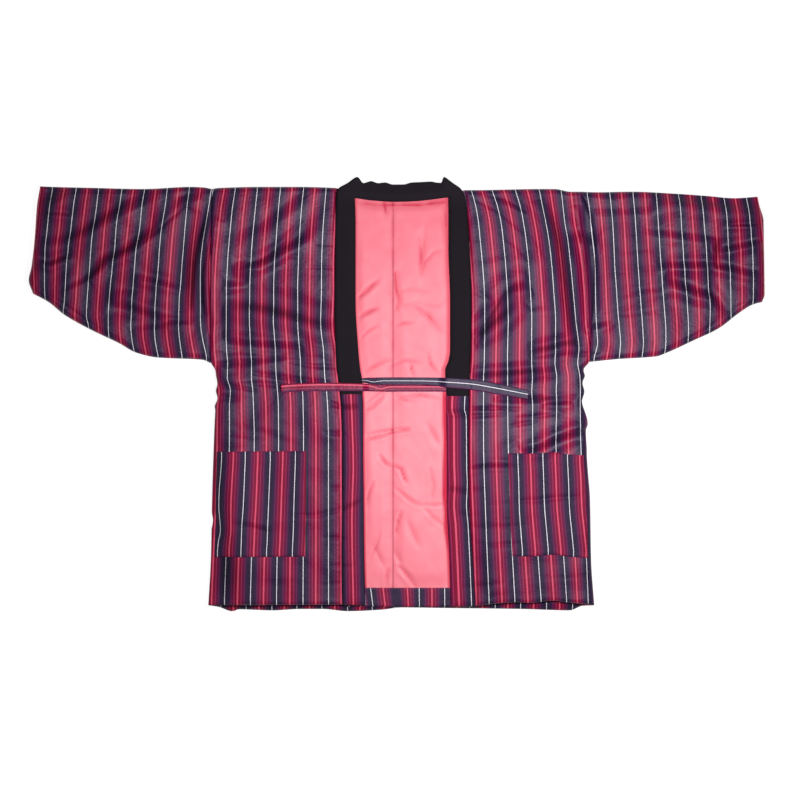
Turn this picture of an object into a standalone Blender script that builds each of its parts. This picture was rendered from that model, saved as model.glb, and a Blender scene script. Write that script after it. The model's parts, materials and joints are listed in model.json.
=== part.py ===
# A hanten: a short wadded jacket with an open front, laid flat on its back.
# +X is the wearer's left, +Y points to the neck and +Z up. The sizes below are
# in millimetres, and the origin is under the middle of the plan box.

import math

import bmesh
import bpy
import numpy as np

MM = 0.001
GAP = 0.3

# Layers
BACK_PAD = 11.0
FRONT_PAD = 12.0
BAND_PAD = 10.5
COVER = 0.9
SHEET = 1.2
POCKET = 1.6
TIE = 2.4
BACK_TOP = BACK_PAD
FRONT_BASE = BACK_TOP + GAP
LINING_TOP = FRONT_BASE + SHEET
BAND_BASE = LINING_TOP + GAP
THIN_EDGE = 1.6

# Places and lengths
CENTRE_SEAM = -6.8
NECKLINE = 367.0
NECK_CORNER = 32.0
TURN_UP_TOP = -358.0
TURN_UP_LOW = -393.0
UNDERARM = {"right": 58.0, "left": 60.0}
COVER_END = {"right": 0.5, "left": -3.0}
SLEEVE_LENGTH = 330.0
BAND_WIDTH = 41.0
SHEET_OVERLAP = 3.0

# Inside of the sleeves: how far it stays from the fold and the seam, half its
# height inside and what the mouth adds, and its bevel at the armhole
SLEEVE_INSET = 8.0
SLEEVE_GAP = 0.6
MOUTH_GAP = 1.1
SEAM_BEVEL = 1.5

# Soft swelling of the wadding
PUFF = 0.7
LINING_PUFF = 2.0

# How the edges are rolled: width, the share of the thickness that the top
# drops, and the share that the underside lifts
ROLLS = {
    "none": (16, 0.0, 0.0),
    "band_seam": (9, 0.42, 0.0),
    "band_fold": (12, 0.6, 0.12),
    "band_hem": (12, 0.5, 0.15),
    "armhole": (10, 0.36, 0.0),
    "front_side": (18, 0.86, 0.0),
    "front_hem": (14, 0.5, 0.2),
    "shoulder": (17, 0.86, 0.0),
    "back_side": (16, 0.0, 0.82),
    "back_hem": (10, 0.25, 0.35),
    "sleeve_fold": (17, 0.86, 0.82),
    "cuff": (11, 0.5, 0.35),
}

# Edges along the length: y, then the x of the band's inner edge, the band's
# outer edge, and the side seam with the armhole above the underarm
EDGES = {
    "right": (
        (-392, -57, -101, -349),
        (-300, -60, -102, -344),
        (-196, -61, -101, -342),
        (-100, -62, -101, -339),
        (-29, -62, -102, -336),
        (0, -63, -105, -333),
        (26, -64, -108, -334),
        (44, -67, -111, -336),
        (60, -69, -112, -344),
        (82, -71, -113, -345),
        (174, -76, -115, -345),
        (267, -76, -114, -344),
        (384, -76, -113, -342),
    ),
    "left": (
        (-392, 100, 146, 366),
        (-307, 98, 141, 360),
        (-196, 93, 134, 358),
        (-103, 93, 133, 352),
        (-51, 92, 133, 353),
        (-8, 92, 134, 345),
        (45, 90, 135, 347),
        (62, 96, 136, 357),
        (82, 99, 137, 358),
        (174, 99, 138, 364),
        (267, 96, 135, 367),
        (330, 96, 131, 357),
        (384, 95, 127, 336),
    ),
}

# Outlines across the width: x, y
SHOULDER = {
    "right": ((-342, 380), (-329, 382), (-253, 384), (-179, 384), (-113, 382)),
    "left": ((127, 378), (145, 378), (265, 380), (293, 380), (322, 375), (340, 375)),
}
FRONT_HEM = {
    "right": ((-349, -390), (-305, -390), (-101, -389)),
    "left": ((146, -391), (219, -385), (247, -386), (291, -382), (313, -385), (366, -389)),
}
BAND_HEM = {"right": -390.0, "left": -392.5}
BACK_HEM = (
    (-349, -391),
    (-330, -394),
    (-304, -402.4),
    (-293, -398.5),
    (-230, -400.5),
    (-180, -398),
    (-136, -398),
    (-91, -402),
    (-25, -399),
    (7, -395),
    (86, -396),
    (235, -398),
    (321, -400.5),
    (344, -392),
    (366, -391),
)
SLEEVE_TOP = {
    "right": ((-660, 385), (-638, 384), (-555, 382), (-471, 380), (-381, 384), (-357, 383), (-342, 380)),
    "left": ((336, 375), (372, 374), (435, 375), (520, 371), (576, 367), (625, 363), (671, 366)),
}
SLEEVE_LOW = {
    "right": (
        (-681, 190),
        (-645, 171),
        (-615, 147),
        (-567, 120),
        (-513, 94),
        (-482, 77),
        (-442, 68),
        (-360, 64),
        (-345, 58),
    ),
    "left": (
        (358, 60),
        (407, 65),
        (480, 70),
        (500, 77),
        (548, 99),
        (596, 122),
        (633, 150),
        (659, 166),
        (681, 172),
    ),
}

# Cuff edge: y, x
CUFF = {
    "right": ((186, -673), (207, -681.2), (236, -676), (292, -670), (348, -666), (385, -660)),
    "left": ((172, 676), (185, 681), (264, 680), (321, 679), (351, 671), (366, 668)),
}

# Patch pockets: y of the lower and upper edge, x of the inner edge halfway up,
# and how far the outer edge stays from the side seam
POCKETS = {
    "right": (-301, -107, -168, 7),
    "left": (-303, -113, 209, 6),
}

# Sections of the collar where it turns and crosses the neck, from the right to
# the left: inner edge x, y, outer edge x, y, and the height under the outer edge
COLLAR = (
    (-76, 345, -112.5, 352, BAND_BASE),
    (-75.5, 356, -111.5, 368, BAND_BASE),
    (-75, 361, -108.5, 380, BAND_BASE),
    (-74, 363, -91, 391, BAND_BASE),
    (-72, 364, -73, 402.4, 10.5),
    (-65, 362, -62, 391, 6.0),
    (-55, 359, -53, 395, 4.0),
    (-26, 357, -27, 393, 3.0),
    (3, 356, 2, 390.5, 3.0),
    (43, 358, 43, 395, 3.0),
    (69, 361, 75, 393.5, 4.0),
    (79, 363, 82, 391.5, 6.0),
    (87, 365, 87.5, 402.4, 10.5),
    (92, 364, 104, 391, BAND_BASE),
    (93.5, 361, 119, 380, BAND_BASE),
    (94.5, 355, 125.5, 368, BAND_BASE),
    (95.5, 343, 128.5, 352, BAND_BASE),
)
COLLAR_TURN = 325.0

# Ties, from the sewn end to the free end: x, y of the upper and lower edge
TIES = {
    "right": (
        (-61, 30, 22.5),
        (-45, 31, 18.5),
        (-12, 31.2, 17.4),
        (43, 31.2, 17),
        (72, 31, 15.5),
        (93, 30.5, 12.5),
        (136, 28, 8.5),
        (191, 19, -1),
        (243, 7.5, -9.5),
    ),
    "left": (
        (89.4, 16.5, 5),
        (43, 16.6, 5),
        (-12, 17, 5),
        (-45, 18.1, 5.5),
        (-59, 19.7, 6),
        (-133, 21.4, 6),
        (-179, 20.4, 5),
        (-214, 18, 3.2),
    ),
}
# Height of a tie's underside at its sewn end and further along the opening
TIE_REST = {"right": (15.2, 18.0), "left": (15.2, 15.2)}

# Largest folds pressed into the front and the sleeves: x and y of both ends,
# half width and depth
FOLDS = (
    (-386, 378, -456, 306, 18, 3.2),
    (-456, 306, -595, 193, 17, 3.4),
    (-414, 354, -499, 326, 16, 2.4),
    (-499, 326, -627, 250, 16, 2.6),
    (-352, 370, -371, 174, 15, 2.8),
    (-382, 156, -364, 91, 15, 2.8),
    (576, 274, 585, 156, 16, 2.6),
    (496, 241, 548, 241, 15, 2.2),
    (376, 158, 380, 100, 20, 2.6),
    (276, 348, 316, 208, 18, 4.0),
    (316, 208, 330, 100, 18, 3.6),
    (-133, 374, -196, 263, 18, 3.0),
    (-196, 263, -275, 193, 18, 3.2),
    (-327, 152, -130, 152, 22, 3.2),
    (-327, 54, -233, 67, 15, 3.8),
    (-233, 67, -120, 55, 15, 3.4),
    (-288, 16, -160, 30, 15, 2.6),
    (145, 84, 219, 206, 17, 2.8),
    (263, 63, 302, 97, 14, 2.4),
    (143, 19, 241, 41, 15, 3.0),
    (241, 41, 340, 60, 15, 3.4),
    (250, -51, 341, -27, 15, 3.0),
    (256, -99, 335, -62, 14, 2.6),
)

SURFACES = {
    "striped_cotton": ((0.13, 0.035, 0.085), 0.62),
    "collar_cotton": ((0.016, 0.013, 0.018), 0.85),
    "lining_satin": ((0.93, 0.27, 0.34), 0.5),
    "tie_red": ((0.33, 0.035, 0.10), 0.62),
    "tie_grey": ((0.09, 0.08, 0.12), 0.62),
}


def clear_scene():
    for obj in list(bpy.data.objects):
        bpy.data.objects.remove(obj, do_unlink=True)


def make_collection(name):
    collection = bpy.data.collections.new(name)
    bpy.context.scene.collection.children.link(collection)
    return collection


def make_surfaces():
    made = {}
    for name, (colour, roughness) in SURFACES.items():
        surface = bpy.data.materials.new(name)
        surface.use_nodes = True
        shader = surface.node_tree.nodes["Principled BSDF"]
        shader.inputs["Base Color"].default_value = (*colour, 1.0)
        shader.inputs["Roughness"].default_value = roughness
        shader.inputs["Metallic"].default_value = 0.0
        made[name] = surface
    return made


# A smooth curve through rows of place and value, which never swings past them
def curve(rows):
    rows = np.array(rows, float)
    place, value = rows[rows[:, 0].argsort()].T
    slope = np.diff(value) / np.diff(place)
    tangent = np.concatenate((slope[:1], np.zeros(len(value) - 2), slope[-1:]))
    before, after = slope[:-1], slope[1:]
    same = before * after > 0
    tangent[1:-1][same] = 2 * before[same] * after[same] / (before[same] + after[same])

    def read(at):
        at = np.clip(at, place[0], place[-1])
        i = np.clip(np.searchsorted(place, at, side="right") - 1, 0, len(place) - 2)
        span = place[i + 1] - place[i]
        t = (at - place[i]) / span
        held = value[i] * (1 + 2 * t) * (1 - t) ** 2 + value[i + 1] * t * t * (3 - 2 * t)
        return held + span * t * (1 - t) * (tangent[i] * (1 - t) - tangent[i + 1] * t)

    return read


def smooth_step(t):
    t = np.clip(t, 0, 1)
    return t * t * (3 - 2 * t)


# A quarter ellipse: 0 at an edge and 1 from its width inward
def roll(distance, width):
    t = np.clip(distance / width, 0, 1)
    return np.sqrt(1 - (1 - t) ** 2)


# One edge of a piece: the distance to it and its roll, which turns into
# another one where the share is 1
def edge(away, name, other="none", share=0.0):
    width, drop, lift = (a + share * (b - a) for a, b in zip(ROLLS[name], ROLLS[other]))
    left_over = 1 - roll(away, width)
    return drop * left_over, lift * left_over


# Shares of the thickness that the edges leave of the top and lift underneath
def share_at_edges(edges):
    drops, lifts = zip(*edges)
    return 1 - np.maximum.reduce(drops), np.maximum.reduce(lifts)


# Places along a length at the given breaks, and between them no wider apart
# than the spacing
def stations(breaks, spacing):
    breaks = sorted(breaks)
    places = [breaks[0]]
    for low, high in zip(breaks, breaks[1:]):
        steps = max(1, math.ceil((high - low) / spacing - 1e-6))
        places += [low + (high - low) * (k + 1) / steps for k in range(steps)]
    return np.array(places, float)


def fold_depth(x, y):
    depth = np.zeros(np.shape(x))
    for x0, y0, x1, y1, width, deep in FOLDS:
        run_x, run_y = x1 - x0, y1 - y0
        t = ((x - x0) * run_x + (y - y0) * run_y) / (run_x**2 + run_y**2)
        t = np.clip(t, 0, 1)
        away = np.hypot(x - x0 - t * run_x, y - y0 - t * run_y)
        depth += deep * (0.5 + 0.5 * np.sin(math.pi * t)) * np.exp(-((away / width) ** 2))
    return depth


def wadding(x, y):
    wide = np.sin(x / 47 + 1.3) * np.sin(y / 61 + 0.4)
    fine = np.sin(x / 29 + y / 37)
    return PUFF * (wide + 0.5 * fine) - fold_depth(x, y)


# The plan of one half: its edges as curves, and the rows that the front, the
# back, the sleeve and the band share along their seams
def make_half(side):
    rows = EDGES[side]
    half = {
        "side": side,
        "sign": -1 if side == "right" else 1,
        "band_inner": curve([(row[0], row[1]) for row in rows]),
        "band_outer": curve([(row[0], row[2]) for row in rows]),
        "outer": curve([(row[0], row[3]) for row in rows]),
        "shoulder": curve(SHOULDER[side]),
        "front_hem": curve(FRONT_HEM[side]),
        "sleeve_top": curve(SLEEVE_TOP[side]),
        "sleeve_low": curve(SLEEVE_LOW[side]),
        "cuff": curve(CUFF[side]),
    }
    low, high = UNDERARM[side], float(half["shoulder"](half["outer"](382)))
    half["arm_rows"] = stations((low, low + 3, low + 9, low + 18, high - 17, high - 8, high - 2, high), 30)
    hem = float(half["front_hem"](half["outer"](-390)))
    pocket_low, pocket_high = POCKETS[side][:2]
    side_rows = stations((hem, hem + 3, hem + 14, pocket_low, pocket_high, low), 30)
    half["body_rows"] = np.concatenate((side_rows, half["arm_rows"][1:]))
    return half


# Points of a panel whose columns run from an inner to an outer edge, and whose
# rows, named by their y at the outer edge, run from a low to a high edge
def panel_plan(across, rows, inner, outer, low, high):
    y, u = np.meshgrid(rows, across, indexing="ij")
    x = inner(y) + u * (outer(y) - inner(y))
    share = (y - rows[0]) / (rows[-1] - rows[0])
    placed = low(x) + share * (high(x) - low(x))
    return x, placed + u * (y - placed[:, -1:])


def level(height):
    return lambda x: height + 0 * x


# Closes the space between two grids of points into one solid
def add_solid(name, top, bottom, surface, collection, around=False):
    rows, columns = top.shape[:2]
    bm = bmesh.new()
    layers = [[[bm.verts.new(p * MM) for p in row] for row in grid] for grid in (top, bottom)]

    def add_quad(a, b, c, d):
        bm.faces.new((a, b, c))
        bm.faces.new((a, c, d))

    cells = range(columns if around else columns - 1)
    for layer in layers:
        for i in range(rows - 1):
            for j in cells:
                k = (j + 1) % columns
                add_quad(layer[i][j], layer[i][k], layer[i + 1][k], layer[i + 1][j])
    for i in (0, rows - 1):
        for j in cells:
            k = (j + 1) % columns
            add_quad(layers[0][i][j], layers[0][i][k], layers[1][i][k], layers[1][i][j])
    if not around:
        for j in (0, columns - 1):
            for i in range(rows - 1):
                add_quad(layers[0][i][j], layers[0][i + 1][j], layers[1][i + 1][j], layers[1][i][j])
    bmesh.ops.recalc_face_normals(bm, faces=bm.faces[:])
    mesh = bpy.data.meshes.new(name)
    bm.to_mesh(mesh)
    bm.free()
    mesh.shade_smooth()
    mesh.set_sharp_from_angle(angle=math.radians(50))
    mesh.materials.append(surface)
    obj = bpy.data.objects.new(name, mesh)
    collection.objects.link(obj)
    return obj


# Share of the armhole seam in an outer edge: 0 on the free side below the
# underarm and 1 along the sleeve above it
def armhole(half, y):
    return smooth_step((y - UNDERARM[half["side"]] + 6) / 14)


def front_heights(half, x, y):
    seam = armhole(half, y)
    edges = (
        edge(np.abs(x - half["band_outer"](y)), "band_seam"),
        edge(np.abs(x - half["outer"](y)), "front_side", "armhole", seam),
        edge(y - half["front_hem"](x), "front_hem"),
        edge(half["shoulder"](x) - y, "shoulder"),
    )
    top_share, lift = share_at_edges(edges)
    bottom = FRONT_BASE + FRONT_PAD * lift
    top = FRONT_BASE + top_share * (FRONT_PAD + wadding(x, y))
    return np.maximum(top, bottom + THIN_EDGE), bottom


# The front's plan, and the rows and columns of it that its pocket covers
def front_plan(half):
    gap = GAP / 2 * half["sign"]
    low, high, pocket_inner, pocket_outer = POCKETS[half["side"]]
    inner, outer = half["band_outer"]((low + high) / 2), half["outer"]((low + high) / 2)
    width, pocket_in = float(abs(outer - inner)), float(abs(pocket_inner - inner))
    breaks = (0, 2.5, 9, pocket_in, width - 18, width - pocket_outer, width - 2, width)
    across = stations(breaks, 26)
    x, y = panel_plan(
        across / width,
        half["body_rows"],
        lambda y: half["band_outer"](y) + gap,
        lambda y: half["outer"](y) - gap,
        half["front_hem"],
        half["shoulder"],
    )
    columns = [int(np.argmin(np.abs(across - at))) for at in (pocket_in, width - pocket_outer)]
    rows = [int(np.argmin(np.abs(half["body_rows"] - at))) for at in (low, high)]
    return x, y, rows, columns


def add_front_and_pocket(half, surfaces, collection):
    x, y, rows, columns = front_plan(half)
    top, bottom = front_heights(half, x, y)
    upper, lower = np.dstack((x, y, top)), np.dstack((x, y, bottom))
    cloth = surfaces["striped_cotton"]
    add_solid(f"front_{half['side']}", upper, lower, cloth, collection)
    patch = upper[rows[0] : rows[1] + 1, columns[0] : columns[1] + 1]
    lifted = patch + (0, 0, GAP)
    add_solid(f"pocket_{half['side']}", lifted + (0, 0, POCKET), lifted, cloth, collection)


def back_top_edge(half):
    corner = half["band_outer"](NECKLINE)
    neck_rows = [(CENTRE_SEAM, NECKLINE), (corner - half["sign"] * NECK_CORNER, NECKLINE)]
    return curve(neck_rows + list(SHOULDER[half["side"]]))


def add_back(half, surfaces, collection):
    gap = GAP / 2 * half["sign"]
    hem, neck = curve(BACK_HEM), back_top_edge(half)
    width = float(abs(half["outer"](0) - CENTRE_SEAM))
    across = stations((0, 65, 100, 122, width - 16, width - 5, width - 1.5, width), 64)
    low = float(hem(half["outer"](-390)))
    side_rows = stations((low, low + 2, low + 8, low + 15, half["arm_rows"][0]), 76)
    x, y = panel_plan(
        across / width,
        np.concatenate((side_rows, half["arm_rows"][1:])),
        lambda y: CENTRE_SEAM + gap + 0 * y,
        lambda y: half["outer"](y) - gap,
        hem,
        neck,
    )
    beside_neck = smooth_step((np.abs(x) - np.abs(half["band_outer"](y))) / 12)
    edges = (
        edge(np.abs(x - half["outer"](y)), "back_side", "none", armhole(half, y)),
        edge(y - hem(x), "back_hem"),
        edge(neck(x) - y, "none", "back_side", beside_neck),
    )
    top_share, lift = share_at_edges(edges)
    top = BACK_TOP * top_share
    bottom = np.minimum(BACK_PAD * lift, top - THIN_EDGE)
    upper, lower = np.dstack((x, y, top)), np.dstack((x, y, bottom))
    add_solid(f"back_{half['side']}", upper, lower, surfaces["striped_cotton"], collection)


def sleeve_heights(half, x, y, rim):
    edges = (
        edge(np.abs(x - half["outer"](y)), "armhole"),
        edge(rim, "cuff"),
        edge(y - half["sleeve_low"](x), "sleeve_fold"),
        edge(half["sleeve_top"](x) - y, "sleeve_fold"),
    )
    top_share, lift = share_at_edges(edges)
    top = FRONT_BASE + top_share * (FRONT_PAD + wadding(x, y))
    return top, BACK_PAD * lift


# Rings of a flattened tube: along its top layer and back along its lower one
def around_tube(x, y, top, bottom):
    return np.concatenate((np.dstack((x, y, top)), np.dstack((x, y, bottom))[:, ::-1]), axis=1)


# A flattened tube with its fold above and its seam below, open at the armhole
# and at the cuff
def add_sleeve(half, surfaces, collection):
    gap = GAP / 2 * half["sign"]
    seam_rows = half["arm_rows"]
    rim = SLEEVE_LENGTH - ROLLS["cuff"][0]
    away = stations((0, 3, 10, rim, SLEEVE_LENGTH - 3, SLEEVE_LENGTH), 34) / SLEEVE_LENGTH
    s, seam_y = np.meshgrid(away, seam_rows, indexing="ij")
    w = (seam_y - seam_rows[0]) / (seam_rows[-1] - seam_rows[0])
    cuff_rows = sorted(CUFF[half["side"]])
    cuff_y = cuff_rows[0][0] + w * (cuff_rows[-1][0] - cuff_rows[0][0])
    x = (half["outer"](seam_y) + gap) * (1 - s) + half["cuff"](cuff_y) * s
    low, high = half["sleeve_low"](x), half["sleeve_top"](x)
    y = low + w * (high - low)
    y += (1 - s) * (seam_y - y[:1])
    top, bottom = sleeve_heights(half, x, y, (1 - s) * SLEEVE_LENGTH)
    inside = SLEEVE_GAP + MOUTH_GAP * smooth_step((s - 0.85) / 0.15)
    margin = SLEEVE_INSET / (seam_rows[-1] - seam_rows[0])
    inset = margin + w[0] * (1 - 2 * margin)
    inner_x = np.array([np.interp(inset, w[0], row) for row in x])
    inner_y = np.array([np.interp(inset, w[0], row) for row in y])
    inner_x[0] += SEAM_BEVEL * half["sign"]
    middle = FRONT_BASE - GAP / 2
    outer = around_tube(x, y, top, bottom)
    inner = around_tube(inner_x, inner_y, middle + inside, middle - inside)
    add_solid(f"sleeve_{half['side']}", outer, inner, surfaces["striped_cotton"], collection, around=True)


def lining_height(half, x, y):
    seam = np.abs(x - CENTRE_SEAM)
    band = np.abs(half["band_inner"](y)) - np.abs(x)
    swell = smooth_step(seam / 40) * smooth_step(band / 34)
    swell = swell * smooth_step((y - TURN_UP_TOP) / 30) * smooth_step((NECKLINE - 22 - y) / 40)
    return LINING_TOP + LINING_PUFF * swell * (0.6 + 0.4 * np.sin(y / 52 + x / 33))


def add_lining(half, surfaces, collection):
    gap = GAP / 2 * half["sign"]
    under = SHEET_OVERLAP * half["sign"]
    x, y = panel_plan(
        stations((0, 55, 72, 100), 20) / 100,
        stations((TURN_UP_TOP, NECKLINE - 1), 56),
        lambda y: CENTRE_SEAM + gap + 0 * y,
        lambda y: half["band_outer"](y) - under,
        level(TURN_UP_TOP),
        level(NECKLINE - 1),
    )
    upper = np.dstack((x, y, lining_height(half, x, y)))
    lower = np.dstack((x, y, np.full(x.shape, FRONT_BASE)))
    add_solid(f"lining_{half['side']}", upper, lower, surfaces["lining_satin"], collection)


# The back's own cloth, turned up inside the hem
def add_hem_turn_up(halves, surfaces, collection):
    right, left = halves
    x, y = panel_plan(
        stations((0, 1), 0.1),
        stations((TURN_UP_LOW, TURN_UP_TOP - GAP), 12),
        lambda y: right["band_outer"](y) + SHEET_OVERLAP,
        lambda y: left["band_outer"](y) - SHEET_OVERLAP,
        level(TURN_UP_LOW),
        level(TURN_UP_TOP - GAP),
    )
    lower = np.dstack((x, y, np.full(x.shape, FRONT_BASE)))
    add_solid("hem_turn_up", lower + (0, 0, SHEET), lower, surfaces["striped_cotton"], collection)


def band_heights(half, x, y, extra=0.0):
    edges = (
        edge(np.abs(x - half["band_inner"](y)), "band_fold"),
        edge(np.abs(x - half["band_outer"](y)), "band_seam"),
        edge(y - BAND_HEM[half["side"]], "band_hem"),
    )
    top_share, lift = share_at_edges(edges)
    ripple = 0.35 * np.sin(y / 27 + 0.6) + 0.25 * np.sin(y / 11)
    return BAND_BASE + top_share * (BAND_PAD + extra + ripple), BAND_BASE + BAND_PAD * lift


def add_band(half, surfaces, collection):
    gap = GAP / 2 * half["sign"]
    hem, end = BAND_HEM[half["side"]], COVER_END[half["side"]] - GAP
    shared = half["body_rows"][(half["body_rows"] > hem + 20) & (half["body_rows"] < end - 8)]
    x, y = panel_plan(
        stations((0, 2, 7, BAND_WIDTH - 6, BAND_WIDTH - 2, BAND_WIDTH), 28) / BAND_WIDTH,
        np.concatenate(((hem, hem + 3, hem + 11), shared, (end,))),
        half["band_inner"],
        lambda y: half["band_outer"](y) - gap,
        level(hem),
        level(end),
    )
    top, bottom = band_heights(half, x, y)
    upper, lower = np.dstack((x, y, top)), np.dstack((x, y, bottom))
    add_solid(f"band_{half['side']}", upper, lower, surfaces["striped_cotton"], collection)


# Straight sections up one front, at the rows that it shares with the panel
def collar_run(half):
    end, rows = COVER_END[half["side"]], half["body_rows"]
    gap = GAP / 2 * half["sign"]
    places = np.concatenate(((end,), rows[(rows > end + 8) & (rows < COLLAR_TURN)]))
    return [(half["band_inner"](y), y, half["band_outer"](y) - gap, y, BAND_BASE) for y in places]


# Sections of the whole collar, with more of them where it turns
def collar_sections(halves):
    right, left = collar_run(halves[0]), collar_run(halves[1])
    turn = np.array(right[-1:] + list(COLLAR) + left[-1:], float)
    step = np.hypot(*np.diff((turn[:, :2] + turn[:, 2:4]) / 2, axis=0).T)
    place = np.concatenate(((0,), np.cumsum(step)))
    fine = stations(place, 24)
    smooth = np.column_stack([curve(np.column_stack((place, turn[:, k])))(fine) for k in range(5)])
    return np.concatenate((np.array(right[:-1]), smooth, np.array(left[-2::-1])))


def add_collar(halves, surfaces, collection):
    rows = collar_sections(halves)
    breaks = (0, 2, 7, 14, 24, BAND_WIDTH - 6, BAND_WIDTH - 2, BAND_WIDTH)
    w = stations(breaks, 14)[None, :] / BAND_WIDTH
    inner, outer, outer_base = rows[:, None, 0:2], rows[:, None, 2:4], rows[:, 4:5]
    plan = inner + w[..., None] * (outer - inner)
    width = np.hypot(*(rows[:, 2:4] - rows[:, 0:2]).T)[:, None]
    lean = BAND_BASE - outer_base
    top_share, lift = share_at_edges((edge(w * width, "band_fold"), edge((1 - w) * width, "band_seam")))
    ripple = 0.35 * np.sin(rows[:, 0:1] / 27) + 0.25 * np.sin(rows[:, 0:1] / 13)
    full = BAND_PAD + COVER + ripple
    base = BAND_BASE - lean * smooth_step((w - 0.34) / 0.6)
    top = base + top_share * full + 0.35 * lean * smooth_step((w - 0.3) / 0.7)
    bottom = base + BAND_PAD * lift
    upper, lower = np.dstack((plan, top)), np.dstack((plan, bottom))
    add_solid("collar", upper, lower, surfaces["collar_cotton"], collection)


# Highest cloth under a point of a tie
def cloth_height(halves, x, y):
    half = halves[0] if x < CENTRE_SEAM else halves[1]
    inner, outer = abs(half["band_inner"](y)), abs(half["band_outer"](y))
    if abs(x) < inner:
        return LINING_TOP + LINING_PUFF
    if abs(x) <= outer:
        return float(band_heights(half, x, y, COVER)[0])
    return float(front_heights(half, x, y)[0])


# A tie starts at its own band's inner edge, spans the opening and climbs over
# the other half's band
def add_tie(side, halves, surfaces, collection):
    rows = np.array(TIES[side], float)
    start, end = rows[0, 0], rows[-1, 0]
    upper_edge, lower_edge = curve(rows[:, (0, 1)]), curve(rows[:, (0, 2)])
    other = halves[1] if side == "right" else halves[0]
    length, climb = abs(end - start), abs(other["band_inner"](15) - start)
    before, after = climb - 18, climb + 24
    opening = stations((0, before), 24)
    slope = stations((before, after), 6)
    beyond = stations((after, length), 20)
    w = np.array((0, 0.08, 0.5, 0.92, 1.0))
    round_off = np.array((0.3, 0.0, 0.0, 0.0, 0.3)) * TIE
    upper, lower = [], []
    for place in np.concatenate((opening, slope[1:], beyond[1:])):
        x = start + np.sign(end - start) * place
        y = upper_edge(x) + w * (lower_edge(x) - upper_edge(x))
        root, rest = TIE_REST[side]
        rise = root + (rest - root) * smooth_step((place - 8) / 30)
        if place > before - 8:
            near = [(x + dx, at) for dx in (-7, -3.5, 0, 3.5, 7) for at in (y[0], y[2], y[-1])]
            rise = max(rise, max(cloth_height(halves, *point) for point in near) + 2 * GAP)
        across = np.full(w.shape, x)
        upper.append(np.column_stack((across, y, rise + TIE - round_off)))
        lower.append(np.column_stack((across, y, rise + round_off)))
    surface = surfaces["tie_grey" if side == "right" else "tie_red"]
    add_solid(f"tie_{side}", np.array(upper), np.array(lower), surface, collection)


def build():
    clear_scene()
    collection = make_collection("hanten")
    surfaces = make_surfaces()
    halves = (make_half("right"), make_half("left"))
    for half in halves:
        add_back(half, surfaces, collection)
        add_lining(half, surfaces, collection)
        add_front_and_pocket(half, surfaces, collection)
        add_sleeve(half, surfaces, collection)
        add_band(half, surfaces, collection)
    add_hem_turn_up(halves, surfaces, collection)
    add_collar(halves, surfaces, collection)
    for side in ("right", "left"):
        add_tie(side, halves, surfaces, collection)


build()
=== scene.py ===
# A wadded hanten laid flat on its back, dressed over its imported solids.
# The sizes below are in millimetres, in the solids' frame: +X is the wearer's
# left, +Y points to the neck and +Z up.

import json
import math

import bmesh
import bpy
import numpy as np
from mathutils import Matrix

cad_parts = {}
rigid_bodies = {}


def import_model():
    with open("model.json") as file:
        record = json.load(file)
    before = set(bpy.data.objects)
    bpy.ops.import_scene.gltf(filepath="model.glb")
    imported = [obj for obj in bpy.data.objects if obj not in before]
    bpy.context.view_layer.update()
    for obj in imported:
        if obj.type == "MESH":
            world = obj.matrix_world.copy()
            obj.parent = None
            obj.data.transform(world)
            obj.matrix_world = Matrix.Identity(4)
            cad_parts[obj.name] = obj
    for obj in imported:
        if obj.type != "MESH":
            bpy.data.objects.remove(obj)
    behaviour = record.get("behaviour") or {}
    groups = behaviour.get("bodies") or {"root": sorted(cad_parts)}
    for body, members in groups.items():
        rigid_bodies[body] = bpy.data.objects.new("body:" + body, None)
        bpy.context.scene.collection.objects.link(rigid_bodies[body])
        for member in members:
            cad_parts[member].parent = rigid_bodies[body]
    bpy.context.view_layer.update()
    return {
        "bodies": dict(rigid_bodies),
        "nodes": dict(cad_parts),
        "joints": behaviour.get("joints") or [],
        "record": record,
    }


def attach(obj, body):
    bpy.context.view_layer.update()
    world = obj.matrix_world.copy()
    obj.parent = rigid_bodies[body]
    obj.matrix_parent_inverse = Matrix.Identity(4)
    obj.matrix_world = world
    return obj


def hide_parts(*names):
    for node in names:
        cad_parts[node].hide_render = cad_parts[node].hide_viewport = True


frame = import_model()
mm = 0.001
print("frame loaded:", len(frame["nodes"]), "nodes")

# How the photo's pixels lie on the garment
photo = {"scale": 1.85, "centreX": 396.7, "centreY": 394.3}

# The one lamp, from which the cloth's slopes turn away
lamp = {"place": (225, 60, 1250), "size": 420, "power": 17.4}

# Thicknesses and heights of the layers, and places that pieces share
layers = {
    "gap": 0.3,
    "backPad": 11.0,
    "frontPad": 12.0,
    "bandPad": 10.5,
    "cover": 0.9,
    "sheet": 1.2,
    "pocket": 1.6,
    "tie": 2.4,
    "frontBase": 11.3,
    "liningTop": 12.5,
    "bandBase": 12.8,
    "thinEdge": 1.6,
}
places = {
    "centreSeam": -6.8,
    "backSeam": -5.0,
    "neckline": 367.0,
    "neckCorner": 32.0,
    "turnUpTop": -358.0,
    "turnUpLow": -393.0,
    "bandWidth": 41.0,
    "sheetOverlap": 3.0,
    "sleeveLength": 330.0,
    "collarTurn": 325.0,
    "shoulderAt": 382,
    "hemAt": -390,
    "backStripes": -385,
}

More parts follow.
